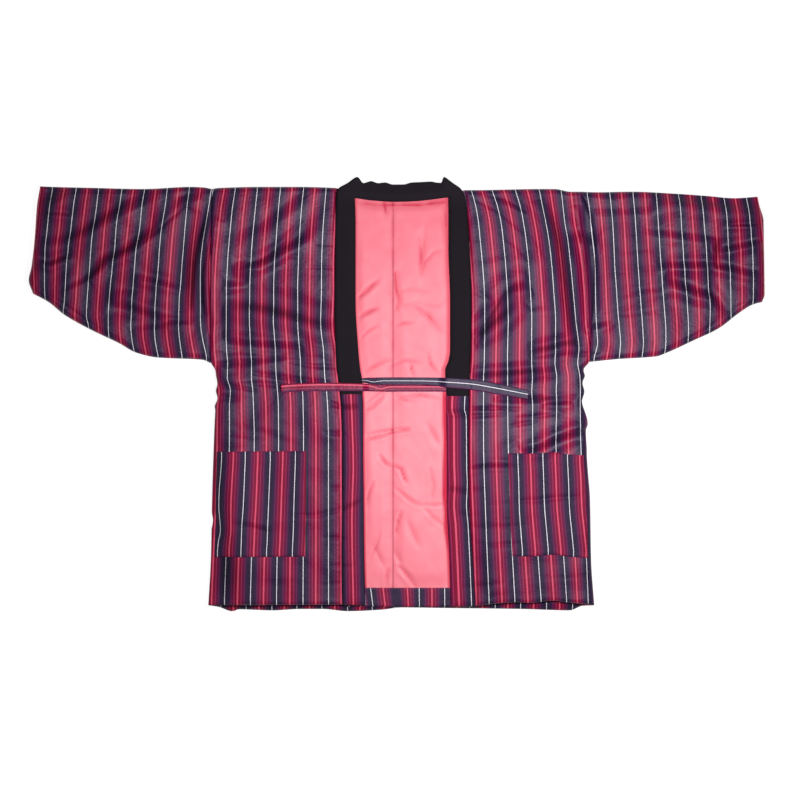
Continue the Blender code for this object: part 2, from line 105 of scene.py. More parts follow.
# Edges of each half. "edges" has y, then the x of the band's inner edge, the
# band's outer edge and the side seam, and "sideWaves" moves that seam at some y.
# The others run along x, and the cuff along y. "pocket" has its low and high y, the
# x of its inner edge and how far its outer edge stays from the side seam
halves = {
    "right": {
        "underarm": 58.0,
        "coverEnd": 0.5,
        "edges": (
            (-392, -57, -101, -349), (-300, -60, -102, -344), (-196, -61, -101, -342),
            (-100, -62, -101, -339), (-29, -62, -102, -336), (0, -63, -105, -333),
            (26, -64, -108, -334), (44, -67, -111, -336), (60, -69, -112, -344),
            (82, -71, -113, -345), (174, -76, -115, -345), (267, -76, -114, -344),
            (384, -76, -113, -342),
        ),
        "shoulder": ((-342, 380), (-329, 382), (-253, 384), (-179, 384), (-113, 382)),
        "frontHem": ((-349, -390), (-305, -390), (-101, -389)),
        "bandHem": -390.0,
        "sleeveTop": (
            (-660, 385), (-638, 384), (-555, 382), (-471, 380), (-381, 384), (-357, 383),
            (-342, 380),
        ),
        "sleeveLow": (
            (-681, 190), (-645, 171), (-615, 147), (-567, 120), (-513, 94), (-482, 77), (-442, 68),
            (-360, 64), (-345, 58),
        ),
        "cuff": ((186, -673), (207, -681.2), (236, -676), (292, -670), (348, -666), (385, -660)),
        "pocket": (-301, -107, -168, 7),
        "sideWaves": (
            (-250, 0), (-233, 2.4), (-216, 0), (-30, 0), (-22, -1.8), (-8, 1.6), (6, -1.8),
            (20, 1.4), (34, 0),
        ),
    },
    "left": {
        "underarm": 60.0,
        "coverEnd": -3.0,
        "edges": (
            (-392, 100, 146, 366), (-307, 98, 141, 360), (-196, 93, 134, 358), (-103, 93, 133, 352),
            (-51, 92, 133, 353), (-8, 92, 134, 345), (45, 90, 135, 347), (62, 96, 136, 357),
            (82, 99, 137, 358), (174, 99, 138, 364), (267, 96, 135, 367), (330, 96, 131, 357),
            (384, 95, 127, 336),
        ),
        "shoulder": ((127, 378), (145, 378), (265, 380), (293, 380), (322, 375), (340, 375)),
        "frontHem": ((146, -391), (219, -385), (247, -386), (291, -382), (313, -385), (366, -389)),
        "bandHem": -392.5,
        "sleeveTop": ((336, 375), (372, 374), (435, 375), (520, 371), (576, 367), (625, 363), (671, 366)),
        "sleeveLow": (
            (358, 60), (407, 65), (480, 70), (500, 77), (548, 99), (596, 122), (633, 150),
            (659, 166), (681, 172),
        ),
        "cuff": ((172, 676), (185, 681), (264, 680), (321, 679), (351, 671), (366, 668)),
        "pocket": (-303, -113, 209, 6),
        "sideWaves": (
            (-100, 0), (-66, -2.4), (-56, 0.6), (-15, -2.2), (5, 2.4), (22, -1.6), (34, 2.2),
            (46, -1.4), (56, 0),
        ),
    },
}
backHem = (
    (-349, -391), (-330, -394), (-304, -402.4), (-293, -398.5), (-230, -400.5), (-180, -398),
    (-136, -398), (-91, -402), (-25, -399), (7, -395), (86, -396), (235, -398), (321, -400.5),
    (344, -392), (366, -391),
)

# How edges are rolled: width, the share of the thickness that the top drops,
# and the share that the underside lifts
rolls = {
    "none": (16, 0.0, 0.0),
    "bandSeam": (7, 0.42, 0.0),
    "bandFold": (12, 0.6, 0.12),
    "bandHem": (12, 0.5, 0.15),
    "armhole": (8, 0.36, 0.0),
    "frontSide": (15, 0.88, 0.0),
    "frontHem": (8, 0.4, 0.1),
    "shoulder": (10, 0.86, 0.0),
    "backSide": (16, 0.0, 0.82),
    "backHem": (22, 0.88, 0.1),
    "sleeveFold": (14, 0.88, 0.82),
    "cuff": (21, 0.9, 0.5),
}

# White lines of the cloth by pixels of the photo: y, then the x of each line.
# Those of the back run straight, but for the ones between the bands
backLines = (220.4, 245.8, 271.7, 296.7, 321.7, 347.5, 469.7, 495.3, 520.7, 546.7, 572.7)
whiteLines = {
    "frontRight": (
        (190, 235.2, 257.3, 280.4, 303.5, 326), (209, 232.4, 255.3, 278.5, 301.5, 324.4),
        (237, 229.6, 252.6, 276.4, 299.5, 322.6), (265, 227.4, 250.7, 274.4, 298.3, 321.6),
        (293, 226.4, 249.6, 273.6, 297.6, 321.4), (321, 226.4, 249.5, 273.5, 297.7, 320.6),
        (335, 226.2, 250.1, 274.4, 298.4, 321.6), (350, 226.6, 250.6, 275.4, 299.5, 323.4),
        (363, 227.6, 251.5, 275.6, 300.4, 324), (377, 227.4, 251.5, 276.2, 300.6, 324.8),
        (391, 230.4, 252.8, 277.5, 302.5, 326.5), (405, 229.5, 253.4, 278.4, 303.1, 327.5),
        (436, 229.5, 254.3, 278.6, 303.5, 328.4), (600, 224.5, 250.5, 276.5, 303, 328.5),
    ),
    "frontLeft": (
        (190, 471.2, 492, 515.2, 539.2, 561.1, 570.4, 586.6),
        (209, 476.2, 498, 520.8, 542.8, 563.2, 572.6, 589.4),
        (223, 478.4, 501, 523.4, 545.7, 564.9, 574.2, 590.8),
        (237, 479.8, 502.8, 525.6, 548.2, 567.4, 577.2, 592.2),
        (265, 482.4, 505.5, 528.6, 551.5, 570.7, 581.6, 595),
        (293, 484.3, 507.4, 530.4, 553.6, 573.4, 584, 595.5),
        (321, 484.7, 508, 531.6, 555.4, 575.9, 585.4, 596.1),
        (349, 484.4, 507.5, 531.5, 555.3, 578.8, 588.5, 598),
        (363, 484.1, 507.4, 531.5, 554.8, 577.6, 589, 601),
        (377, 483.5, 507.6, 532.4, 556.6, 579.8, 591.5, 603.5),
        (391, 483.5, 507.6, 531.6, 556.1, 580.3, 592, 604),
        (405, 483.4, 507.6, 532.5, 556.6, 580.1, 592, 604),
        (436, 483.4, 508, 532.5, 555.8, 580.5, 592.5, 604.5),
        (540, 486.5, 511.5, 537, 562.5, 585.5, 598, 610),
        (600, 489, 514.8, 541, 566.5, 588, 600, 612),
    ),
    "pocketRight": (
        (460, 221.7, 245.4, 270.3, 295.4), (505, 218.8, 243.5, 268.6, 293.9),
        (530, 220.4, 241.8, 267.6, 293.3), (542, 218.3, 241.5, 267.2, 292.8),
        (550, 217.4, 241.1, 266.6, 292.4),
    ),
    "pocketLeft": (
        (460, 517.7, 542.8, 567.3), (482, 518.6, 543.6, 568.4), (506, 519.1, 544.4, 569.2),
        (530, 520.6, 546.4, 571.4), (550, 522.3, 548.1, 573.4),
    ),
    "sleeveRight": (
        (190, 52.2, 76.2, 98.6, 121.9, 144.4, 167.2, 189.2, 211.2),
        (206, 49.9, 73.6, 96.6, 119.5, 142, 165.3, 187.2, 208.8),
        (226, 47.6, 71.2, 93.7, 116.5, 140, 162, 185.2, 205.6),
        (246, 45.5, 68.6, 91.3, 114.8, 136.7, 159.8, 183.5, 202.5),
        (266, 44.6, 66.5, 89.6, 112.6, 134.7, 158.4, 181.8, 200.7),
        (286, 44.6, 65.4, 88.2, 110.4, 133.2, 156.5, 180.4, 200.4),
        (300, 45.2, 64.6, 87.2, 109.2, 132.1, 155.5, 179.1, 200.4),
        (316, 45.5, 63, 86.5, 108.3, 131.2, 154.8, 178.8, 200.4),
        (326, 45.8, 64, 88.6, 108.4, 130.8, 154.5, 178.7, 200.8),
        (336, 46, 65.2, 89, 108.8, 131.5, 154.8, 179.3, 202.1),
        (356, 46, 68, 92, 112, 135, 158, 182, 206.5),
    ),
    "sleeveLeft": (
        (195, 587.2, 609.8, 633, 656.2, 678.6, 701.2, 723.8, 746.1),
        (210, 589.5, 611.4, 634.4, 657.1, 680.1, 702.5, 725.6, 748.4),
        (230, 591.6, 612.9, 635.8, 658.6, 681.6, 704.5, 727.5, 750.6),
        (250, 593.8, 613.9, 637, 659.9, 683, 706.2, 728.6, 752.3),
        (270, 595.2, 614.8, 638.2, 661.3, 684.5, 707.4, 729.8, 753),
        (290, 595.4, 616.3, 639.6, 662.6, 686, 708.6, 730.5, 753.2),
        (310, 595.8, 617.6, 641.2, 664.3, 687.5, 710, 730.8, 752.6),
        (330, 596.7, 619.5, 642.7, 665.6, 688.4, 709.5, 731.4, 752),
        (342, 597.4, 620.4, 643.3, 665.7, 688, 709, 731, 752),
        (358, 594, 619.2, 642, 664, 687, 709, 731, 752),
    ),
    "turnUp": (
        (588, 347, 370.5, 395.5, 419.2, 444.7), (606, 349, 372.8, 397.5, 419.4, 444.9),
    ),
    "backHem": (
        (600, *backLines[:6], 371.4, 395, 419, 444.2, *backLines[6:]),
        (612, *backLines[:6], 372.4, 396, 419, 444.6, *backLines[6:]),
    ),
}

# Repeats of the cloth at a piece's lines, where a pink line is charted as well
lineRepeats = {"frontLeft": (0, 1, 2, 3, 4, 4.5, 5)}

# Largest folds, as in the solids: x and y of both ends, half width and depth
mainFolds = (
    (-386, 378, -456, 306, 18, 3.2), (-456, 306, -595, 193, 17, 3.4),
    (-414, 354, -499, 326, 16, 2.4), (-499, 326, -627, 250, 16, 2.6),
    (-352, 370, -371, 174, 15, 2.8), (-382, 156, -364, 91, 15, 2.8), (576, 274, 585, 156, 16, 2.6),
    (496, 241, 548, 241, 15, 2.2), (376, 158, 380, 100, 20, 2.6), (276, 348, 316, 208, 18, 4.0),
    (316, 208, 330, 100, 18, 3.6), (-133, 374, -196, 263, 18, 3.0), (-196, 263, -275, 193, 18, 3.2),
    (-327, 152, -130, 152, 22, 3.2), (-327, 54, -233, 67, 15, 3.8), (-233, 67, -120, 55, 15, 3.4),
    (-288, 16, -160, 30, 15, 2.6), (145, 84, 219, 206, 17, 2.8), (263, 63, 302, 97, 14, 2.4),
    (143, 19, 241, 41, 15, 3.0), (241, 41, 340, 60, 15, 3.4), (250, -51, 341, -27, 15, 3.0),
    (256, -99, 335, -62, 14, 2.6),
)

# Slopes of the cloth by pixels of the photo, which turn away from the lamp: how
# far one falls and its half width in millimetres, then the points of its line
slopes = (
    (3.2, 11, 160, 193, 130, 205, 105, 218, 85, 231, 62, 239, 36, 241),
    (3.9, 9, 160, 227, 143, 238, 125, 251, 104, 259, 94, 272, 86, 280),
    (2.6, 11, 40, 208, 52, 199, 68, 190), (1.5, 5, 36, 214, 60, 214, 78, 217),
    (3.6, 6, 33, 259, 50, 264, 62, 259, 74, 254),
    (5.0, 15, 207, 214, 198, 240, 193, 262, 191, 290, 192, 314),
    (2.4, 7, 134, 276, 155, 281, 172, 285, 188, 288), (0.6, 5, 115, 292, 152, 292),
    (3.4, 9, 108, 302, 128, 306, 146, 312, 170, 319), (1.8, 5, 162, 322, 194, 323),
    (1.6, 6, 176, 201, 202, 196), (7.0, 13, 650, 198, 680, 200, 700, 203, 730, 206, 764, 207),
    (0.6, 7, 582, 213, 605, 212, 625, 212, 650, 210, 670, 211),
    (1.3, 8, 638, 230, 665, 234, 690, 237, 712, 240, 726, 241),
    (3.2, 6.5, 712, 252, 735, 247, 750, 244, 764, 241), (2.0, 4, 724, 226, 764, 225),
    (2.8, 7, 656, 266, 690, 265, 712, 265, 730, 268, 748, 273, 762, 274),
    (3.5, 7, 717, 238, 715, 268), (3.8, 9, 664, 280, 685, 287, 700, 293, 716, 297),
    (0.9, 7, 622, 297, 645, 291, 672, 290), (0.6, 6, 600, 318, 625, 316, 642, 314, 660, 311),
    (1.2, 6, 584, 328, 614, 322), (2.2, 7, 706, 288, 716, 300, 723, 314),
    (2.4, 12, 552, 234, 580, 238, 602, 240), (0.5, 6, 616, 253, 654, 252),
    (1.1, 10, 308, 194, 285, 212, 265, 226, 236, 235),
    (3.1, 8, 312, 234, 288, 247, 272, 257, 258, 264, 232, 266), (1.8, 7, 222, 285, 248, 284),
    (6.5, 13, 222, 304, 250, 306, 270, 309, 290, 314, 310, 320, 340, 326),
    (0.5, 14, 296, 322, 315, 328, 344, 330), (3, 7.5, 222, 340, 250, 343, 275, 345, 304, 346),
    (1.4, 6, 496, 198, 512, 205, 528, 214), (0.4, 7, 516, 195, 540, 207, 550, 224),
    (4.5, 13, 548, 198, 557, 240, 563, 280, 567, 312, 572, 348),
    (0.3, 7, 478, 260, 500, 259, 524, 258), (3.6, 11, 494, 304, 508, 290, 530, 283),
    (0.4, 6, 511, 312, 540, 309, 560, 308), (5.0, 11, 470, 335, 488, 327, 505, 313, 520, 298),
    (0.5, 8, 468, 350, 484, 330, 497, 313, 506, 297, 515, 282),
    (4.8, 7, 528, 352, 548, 348, 562, 344, 578, 342),
    (4.6, 7, 470, 376, 500, 374, 525, 372, 560, 369),
    (0.5, 6, 232, 425, 262, 430, 280, 436, 302, 444),
    (6.0, 24, 217, 430, 221, 480, 223, 520, 226, 560, 228, 612),
    (2.0, 6, 228, 520, 250, 524, 272, 530), (0.3, 6, 256, 582, 290, 580, 314, 580),
    (3.6, 8, 520, 453, 540, 448, 556, 440, 572, 434, 592, 429),
    (1.4, 5.5, 458, 474, 475, 467, 490, 465, 519, 465), (2.6, 15, 476, 536, 482, 565, 486, 596),
    (2.4, 6, 541, 402, 574, 402), (3.6, 6, 208, 240, 204, 275, 205, 318),
    (4.0, 7, 580, 205, 584, 235, 588, 270, 590, 300, 591, 335), (1, 5, 60, 292, 85, 280, 105, 264),
    (0.8, 5, 130, 330, 160, 326, 190, 330),
)

# Narrow creases by pixels of the photo: half width in millimetres, depth, and
# the points of their line
paddedCreases = (
    (3.2, 1.2, 45, 294, 62, 303, 80, 316, 95, 326, 112, 336),
    (3.2, 1.2, 745, 303, 735, 308, 722, 318, 705, 330, 675, 345),
    (2.6, 0.8, 40, 192, 90, 191.5, 150, 192),
    (4.0, 1.6, 214, 354, 240, 352, 270, 356, 300, 358, 322, 358),
    (4.0, 4.5, 216, 364, 240, 363, 260, 360, 282, 357), (3.5, 1.9, 288, 361, 312, 366, 338, 367),
    (3.5, 3.6, 254, 373, 280, 377, 306, 380, 328, 382), (3.5, 1.8, 240, 384, 264, 384, 290, 385),
    (4.0, 2.8, 212, 385, 232, 386, 254, 390), (3.0, 0.8, 316, 244, 339, 245),
    (3.0, 1.2, 308, 267, 339, 268), (3.5, 2.2, 560, 356, 580, 354, 600, 355),
    (4.5, 3.0, 549, 204, 556, 228, 563, 252, 568, 285, 571, 315, 575, 344),
    (4.5, 2.6, 206, 208, 199, 236, 194, 262, 192, 288, 190, 308),
    (4.0, 2.2, 470, 346, 484, 326, 496, 309, 505, 293, 513, 283),
    (3.5, 2.6, 498, 381, 525, 378, 548, 373), (5.0, 3.0, 212, 396, 236, 399),
    (5.0, 1.6, 214, 431, 236, 434, 254, 437), (4.0, 1.8, 210, 446, 242, 445),
    (4.0, 2.0, 284, 518, 300, 515, 315, 516, 335, 511, 354, 504),
    (4.0, 3.6, 332, 404, 345, 407, 358, 407), (4.0, 2.4, 326, 433, 346, 434),
    (4.0, 1.6, 328, 489, 344, 488), (4.0, 2.0, 324, 538, 346, 538), (4.0, 1.9, 330, 566, 354, 565),
    (4.0, 1.5, 322, 585, 343, 583), (4.5, 4.4, 496, 399, 520, 399, 545, 399, 574, 397),
    (3.5, 2.2, 452, 412, 468, 409, 490, 408, 520, 409), (4.0, 2.2, 446, 417, 470, 416, 504, 414),
    (4.0, 2.0, 518, 418, 540, 416, 558, 413), (4.0, 2.0, 514, 425, 536, 421),
    (6.0, 1.7, 445, 491, 462, 490, 482, 491), (5.0, 3.2, 520, 501, 540, 500, 555, 498, 578, 497),
    (4.0, 0.5, 476, 505, 505, 504, 522, 501), (4.0, 0.8, 450, 515, 480, 516),
    (5.0, 1.5, 464, 526, 485, 527, 505, 527, 528, 525), (4.5, 1.8, 476, 543, 495, 545, 522, 544),
    (6.0, 2.2, 464, 586, 485, 585, 502, 583), (5.0, 0.5, 536, 578, 584, 577),
    (5.0, 0.9, 341, 300, 356, 306), (5.0, 0.9, 342, 352, 357, 347), (5.0, 0.9, 448, 318, 463, 324),
    (5.0, 1.6, 447, 356, 461, 352), (3.0, 1.2, 472, 198, 500, 212, 528, 236, 545, 262),
    (3.0, 1.0, 474, 191, 505, 199, 532, 214, 552, 238), (3.0, 1.0, 498, 232, 516, 246, 532, 264),
    (3.0, 1.2, 138, 246, 160, 228, 184, 206, 200, 196), (3.0, 1.0, 60, 222, 84, 214, 108, 202),
    (5.0, 3.6, 511, 281, 501, 299, 489, 321, 475, 347), (4.0, 2.6, 706, 244, 711, 274, 714, 304),
    (4.5, 2.4, 557, 214, 566, 250, 572, 296, 576, 340),
    (5.0, 2.8, 207, 244, 203, 272, 202, 304, 206, 330),
    (4.0, 2.2, 240, 268, 262, 258, 284, 240, 300, 222),
    (4.0, 2.4, 343, 510, 350, 506, 357, 502, 364, 499), (3.5, 2.2, 341, 406, 349, 407, 357, 405),
    (3.5, 1.8, 446, 410, 454, 410, 461, 413, 467, 415), (4.0, 1.6, 447, 488, 456, 489, 466, 494),
    (3.5, 1.2, 456, 510, 467, 515),
)
liningCreases = (
    (3.5, 1.8, 358, 298, 366, 291, 377, 281), (3.5, 1.8, 357, 318, 364, 314, 376, 308.5),
    (7, 0.9, 419, 238, 421, 256, 420, 273), (4.5, 1.1, 415, 305, 428, 315, 439, 329),
    (5, 1.8, 444, 208, 446, 222, 448, 240), (4, 2.2, 395, 272, 396, 288, 399, 300, 396, 309),
    (3, 0.8, 394, 326, 402, 323, 413, 322), (3, 0.9, 364, 372, 376, 365, 386, 360, 392, 360),
    (3, 0.9, 410, 362, 412, 372, 414, 376), (3, 0.9, 428, 352, 431, 364, 440, 374),
    (6, 1.2, 384, 202, 386, 214), (6, 1.2, 357, 203, 380, 205, 420, 205, 446, 202),
    (3, 1.4, 365, 440, 376, 437, 391, 433, 408, 429),
    (2.5, 1.0, 366, 435, 380, 432, 396, 429, 409, 430), (3, 1.2, 380, 456, 386, 463, 392, 467),
    (3, 1.7, 394, 466, 401, 469, 406, 482), (3, 1.1, 394, 488, 404, 495, 413, 502, 421, 506),
    (2.5, 0.8, 423, 505, 446, 505), (3, 0.8, 424, 508, 436, 520, 446, 528),
    (3, 1.6, 401, 512, 398, 522, 396, 534), (3.5, 1.2, 394, 549, 400, 562),
    (4, 2.2, 400, 567, 409, 577, 416, 587), (3.5, 1.1, 373, 483, 368, 494, 366, 506),
    (3, 1.2, 388, 570, 386, 588), (3, 1.2, 364, 411, 372, 407, 383, 396),
    (3, 1.0, 397, 398, 411, 401), (6, 0.8, 428, 424, 440, 446), (7, 0.8, 408, 520, 418, 545),
    (7, 0.7, 374, 545, 384, 566), (3.5, 0.6, 448, 247, 434, 252, 425, 262, 421, 274),
    (4, 0.4, 426, 222, 424, 244, 423, 262), (2.5, 0.8, 361, 337, 369, 330, 377, 325),
    (4, 0.4, 400, 304, 416, 302, 436, 306, 448, 300), (4, 0.4, 394, 292, 410, 288, 430, 291),
    (2.5, 0.8, 388, 372, 394, 364, 404, 360, 420, 362), (2.5, 0.7, 366, 402, 376, 395, 386, 391),
    (2.5, 0.8, 400, 398, 420, 395, 442, 399), (2.5, 0.7, 430, 468, 433, 486, 431, 502),
    (2.5, 0.7, 369, 560, 376, 548, 380, 532),
)


def fromPhoto(px, py):
    x = (np.asarray(px, float) - photo["centreX"]) * photo["scale"]
    y = (photo["centreY"] - np.asarray(py, float)) * photo["scale"]
    return x, y


def toPhoto(x, y):
    px = np.asarray(x, float) / photo["scale"] + photo["centreX"]
    py = photo["centreY"] - np.asarray(y, float) / photo["scale"]
    return px, py


# A smooth curve through rows of place and value, which never swings past them
def curve(rows):
    rows = np.array(rows, float)
    place, value = rows[rows[:, 0].argsort()].T
    slope = np.diff(value) / np.diff(place)
    tangent = np.concatenate((slope[:1], np.zeros(len(value) - 2), slope[-1:]))
    before, after = slope[:-1], slope[1:]
    same = before * after > 0
    tangent[1:-1][same] = 2 * before[same] * after[same] / (before[same] + after[same])

    def read(at):
        at = np.clip(at, place[0], place[-1])
        i = np.clip(np.searchsorted(place, at, side="right") - 1, 0, len(place) - 2)
        span = place[i + 1] - place[i]
        t = (at - place[i]) / span
        held = value[i] * (1 + 2 * t) * (1 - t) ** 2 + value[i + 1] * t * t * (3 - 2 * t)
        return held + span * t * (1 - t) * (tangent[i] * (1 - t) - tangent[i + 1] * t)

    return read


def smoothStep(t):
    t = np.clip(t, 0, 1)
    return t * t * (3 - 2 * t)


# Smooth seeded noise from -1 to 1, with one value for each cell of a square that
# repeats, and whose origin is away from the pieces' own
noiseSquare = {"cells": 97, "originX": 31.7, "originY": 17.3}


def noise(x, y, seed):
    cells = noiseSquare["cells"]
    values = np.random.default_rng(seed).uniform(-1, 1, (cells, cells))
    x, y = np.asarray(x, float) + noiseSquare["originX"], np.asarray(y, float) + noiseSquare["originY"]
    i, j = np.floor(x).astype(int), np.floor(y).astype(int)
    s, t = smoothStep(x - i), smoothStep(y - j)
    i0, i1, j0, j1 = i % cells, (i + 1) % cells, j % cells, (j + 1) % cells
    low = values[i0, j0] * (1 - s) + values[i1, j0] * s
    high = values[i0, j1] * (1 - s) + values[i1, j1] * s
    return low * (1 - t) + high * t


# A quarter ellipse: 0 at an edge and 1 from its width inward
def roll(distance, width):
    t = np.clip(distance / width, 0, 1)
    return np.sqrt(1 - (1 - t) ** 2)


# One edge of a piece, which turns into another kind where the share is 1
def edge(away, name, other="none", share=0.0):
    width, drop, lift = (a + share * (b - a) for a, b in zip(rolls[name], rolls[other]))
    leftOver = 1 - roll(away, width)
    return drop * leftOver, lift * leftOver


# What the edges of a piece leave of its thickness, and how far they lift it
def shareAtEdges(edges):
    drops, lifts = zip(*edges)
    return 1 - np.maximum.reduce(drops), np.maximum.reduce(lifts)


# Places along a length at the given breaks, and between them no wider apart
# than the spacing
def stations(breaks, spacing):
    breaks = sorted(breaks)
    found = [breaks[0]]
    for low, high in zip(breaks, breaks[1:]):
        steps = max(1, math.ceil((high - low) / spacing - 1e-6))
        found += [low + (high - low) * (k + 1) / steps for k in range(steps)]
    return np.array(found, float)


# Stations from a low to a high end, with closer ones at some distances from both
def rimmedStations(low, high, fromLow, fromHigh, spacing, others=()):
    breaks = [low + step for step in (0, *fromLow)] + [high - step for step in (0, *fromHigh)]
    return stations([*breaks, *others], spacing)


# Distance of points from a line's nearest stretch, more than 0 on its left, and
# how far along the line that is, from 0 to 1
def besideLine(x, y, line):
    best, beside, along = np.full(np.shape(x), np.inf), 0.0, 0.0
    lengths = np.hypot(*np.diff(line, axis=0).T)
    done = 0.0
    for (x0, y0), (x1, y1), length in zip(line, line[1:], lengths):
        runX, runY = (x1 - x0) / length, (y1 - y0) / length
        t = np.clip((x - x0) * runX + (y - y0) * runY, 0, length)
        away = np.hypot(x - x0 - t * runX, y - y0 - t * runY)
        left = np.where((y - y0) * runX - (x - x0) * runY < 0, -1, 1)
        nearer = away < best
        best = np.where(nearer, away, best)
        beside = np.where(nearer, left * away, beside)
        along = np.where(nearer, done + t, along)
        done += length
    return beside, along / lengths.sum()


def lineOf(path):
    return np.column_stack(fromPhoto(path[0::2], path[1::2]))


# A trough's form, in its half widths: a crease's round bottom and its slopes, and
# the place and width of its ridge. "ends" is the share of its depth at both ends
troughForm = {"core": 0.3, "slope": 0.6, "ridgeAt": 2.2, "ridgeWidth": 1.4, "ends": 0.4}


# Troughs along lines: "sharp" is the share of each that is a narrow crease and
# "ridge" the height of the cloth pushed up beside it
def trough(x, y, rows, sharp=0.0, ridge=0.0):
    depth, ends = np.zeros(np.shape(x)), troughForm["ends"]
    for width, deep, *path in rows:
        beside, along = besideLine(x, y, lineOf(path))
        away, core = np.abs(beside), troughForm["core"] * width
        strength = deep * (ends + (1 - ends) * np.sin(math.pi * along))
        soft = np.exp(-((away / width) ** 2))
        crease = np.exp((core - np.hypot(away, core)) / (troughForm["slope"] * width))
        depth += strength * (soft + sharp * (crease - soft))
        fromRidge = (beside + troughForm["ridgeAt"] * width) / (troughForm["ridgeWidth"] * width)
        depth -= ridge * strength * np.exp(-(fromRidge**2))
    return depth


# Slopes that fall away from under the lamp, with a ridge before and a hollow
# behind them. Their profile is steepest in its middle, by "middleSlope"
def slopeHeights(x, y):
    height = np.zeros(np.shape(x))
    lampX, lampY, _ = lamp["place"]
    for drop, width, *path in slopes:
        line = lineOf(path)
        beside, along = besideLine(x, y, line)
        runX, runY = line[-1] - line[0]
        middle = line.mean(axis=0)
        away = runX * (middle[1] - lampY) - runY * (middle[0] - lampX)
        reach = cloth["slopeWidth"] * width
        place = beside / reach * (1 if away > 0 else -1)
        fall = min(cloth["slopes"] * drop / 2, cloth["steepest"] * reach / cloth["middleSlope"])
        height -= fall * np.sin(math.pi * along) ** 0.6 * place * np.exp(0.5 - 0.5 * place**2)
    return height


# The folds that the solids have too, as rows for a trough
def foldRows():
    rows = []
    for x0, y0, x1, y1, width, deep in mainFolds:
        (px0, px1), (py0, py1) = toPhoto((x0, x1), (y0, y1))
        rows.append((width, deep, px0, py0, px1, py1))
    return rows


# Heights of the wadding's swellings, and how much of each table's folds it takes.
# "steepest" is the most that a slope may fall for each millimetre across it
cloth = {
    "puff": 0.8,
    "wide": 1.3,
    "fine": 0.3,
    "seamPucker": 1.0,
    "folds": 0.5,
    "slopes": 4.8,
    "slopeWidth": 1.2,
    "steepest": 1.5,
    "middleSlope": 1.65,
    "creases": 1.8,
    "creaseSharpness": 0.8,
    "creaseRidge": 0.12,
    "deepest": 9.5,
    "highest": 12.5,
}


# Swelling of the wadding, its folds and creases
def wadding(x, y):
    swell = np.sin(x / 47 + 1.3) * np.sin(y / 61 + 0.4) + 0.5 * np.sin(x / 29 + y / 37)
    wide = noise(x / 43 + y / 160, y / 31, 5)
    fine = noise(x / 17, y / 12, 8)
    height = cloth["puff"] * swell + cloth["wide"] * wide + cloth["fine"] * fine
    height = height - cloth["folds"] * trough(x, y, foldRows()) + slopeHeights(x, y)
    dents = trough(x, y, paddedCreases, cloth["creaseSharpness"], cloth["creaseRidge"])
    return height - cloth["creases"] * dents


# Keeps the wadding's form from growing too deep or too high
def limited(height):
    most = np.where(height < 0, cloth["deepest"], cloth["highest"])
    return most * np.tanh(height / most)


# Gathers along the pieces' seams: how far they reach, their pitch and a seed
gathers = {
    "frontBand": (9, 13, 21),
    "frontSide": (16, 9, 22),
    "frontHem": (10, 12, 23),
    "frontShoulder": (8, 14, 24),
    "backHem": (9, 11, 31),
    "sleeveArmhole": (14, 12, 41),
    "sleeveLow": (14, 10, 42),
    "sleeveCuff": (9, 10, 43),
    "sleeveTop": (8, 15, 44),
    "liningSeam": (8, 9, 53),
    "liningHem": (9, 8, 54),
    "bandOuter": (9, 8, 71),
    "bandInner": (8, 11, 72),
}


# Small gathers that cross a seam and fade away from it
def pucker(away, along, name):
    reach, pitch, seed = gathers[name]
    waves = noise(along / pitch, away / (reach * 1.6), seed)
    return cloth["seamPucker"] * waves * np.exp(-np.abs(away) / reach)


# A half's edges as curves, and what its pieces share
def makeHalf(side):
    half = dict(halves[side])
    half["side"], half["title"] = side, side.capitalize()
    half["sign"] = -1 if side == "right" else 1
    half["gap"] = layers["gap"] / 2 * half["sign"]
    for k, name in enumerate(("bandInner", "bandOuter", "sideSeam")):
        half[name] = curve([(row[0], row[k + 1]) for row in half["edges"]])
    seam, waves = half["sideSeam"], curve(half["sideWaves"])
    half["outer"] = lambda y: seam(y) + waves(y)
    for name in ("shoulder", "frontHem", "sleeveTop", "sleeveLow", "cuff"):
        half[name + "At"] = curve(half[name])
    half["armTop"] = float(half["shoulderAt"](half["outer"](places["shoulderAt"])))
    half["hem"] = float(half["frontHemAt"](half["outer"](places["hemAt"])))
    return half


# Points of a panel whose columns run from an inner to an outer edge, and whose
# rows, named by their y at the outer edge, run from a low to a high edge
def panelPlan(across, rows, inner, outer, low, high):
    y, u = np.meshgrid(rows, across, indexing="ij")
    x = inner(y) + u * (outer(y) - inner(y))
    share = (y - rows[0]) / (rows[-1] - rows[0])
    placed = low(x) + share * (high(x) - low(x))
    return x, placed + u * (y - placed[:, -1:])


def level(height):
    return lambda x: height + 0 * x


# Repeats of the cloth's stripes at points of a piece, from its white lines
def stripesAt(x, y, name):
    rows = np.array(whiteLines[name], float)
    lineY = fromPhoto(0, rows[:, 0])[1]
    lineX = fromPhoto(rows[:, 1:], 0)[0]
    lines = [curve(np.column_stack((lineY, lineX[:, k])))(y) for k in range(lineX.shape[1])]
    steps = lineRepeats.get(name, tuple(range(len(lines))))
    before = (lines[1] - lines[0]) / (steps[1] - steps[0])
    after = (lines[-1] - lines[-2]) / (steps[-1] - steps[-2])
    lines = [lines[0] - before] + lines + [lines[-1] + after]
    steps = (steps[0] - 1, *steps, steps[-1] + 1)
    repeats = np.zeros(np.shape(x))
    for k, (low, high) in enumerate(zip(lines, lines[1:])):
        t = (x - low) / (high - low)
        if k == 0:
            inside = t < 1
        elif k == len(lines) - 2:
            inside = t >= 0
        else:
            inside = (t >= 0) & (t < 1)
        repeats = np.where(inside, steps[k] + t * (steps[k + 1] - steps[k]), repeats)
    return repeats


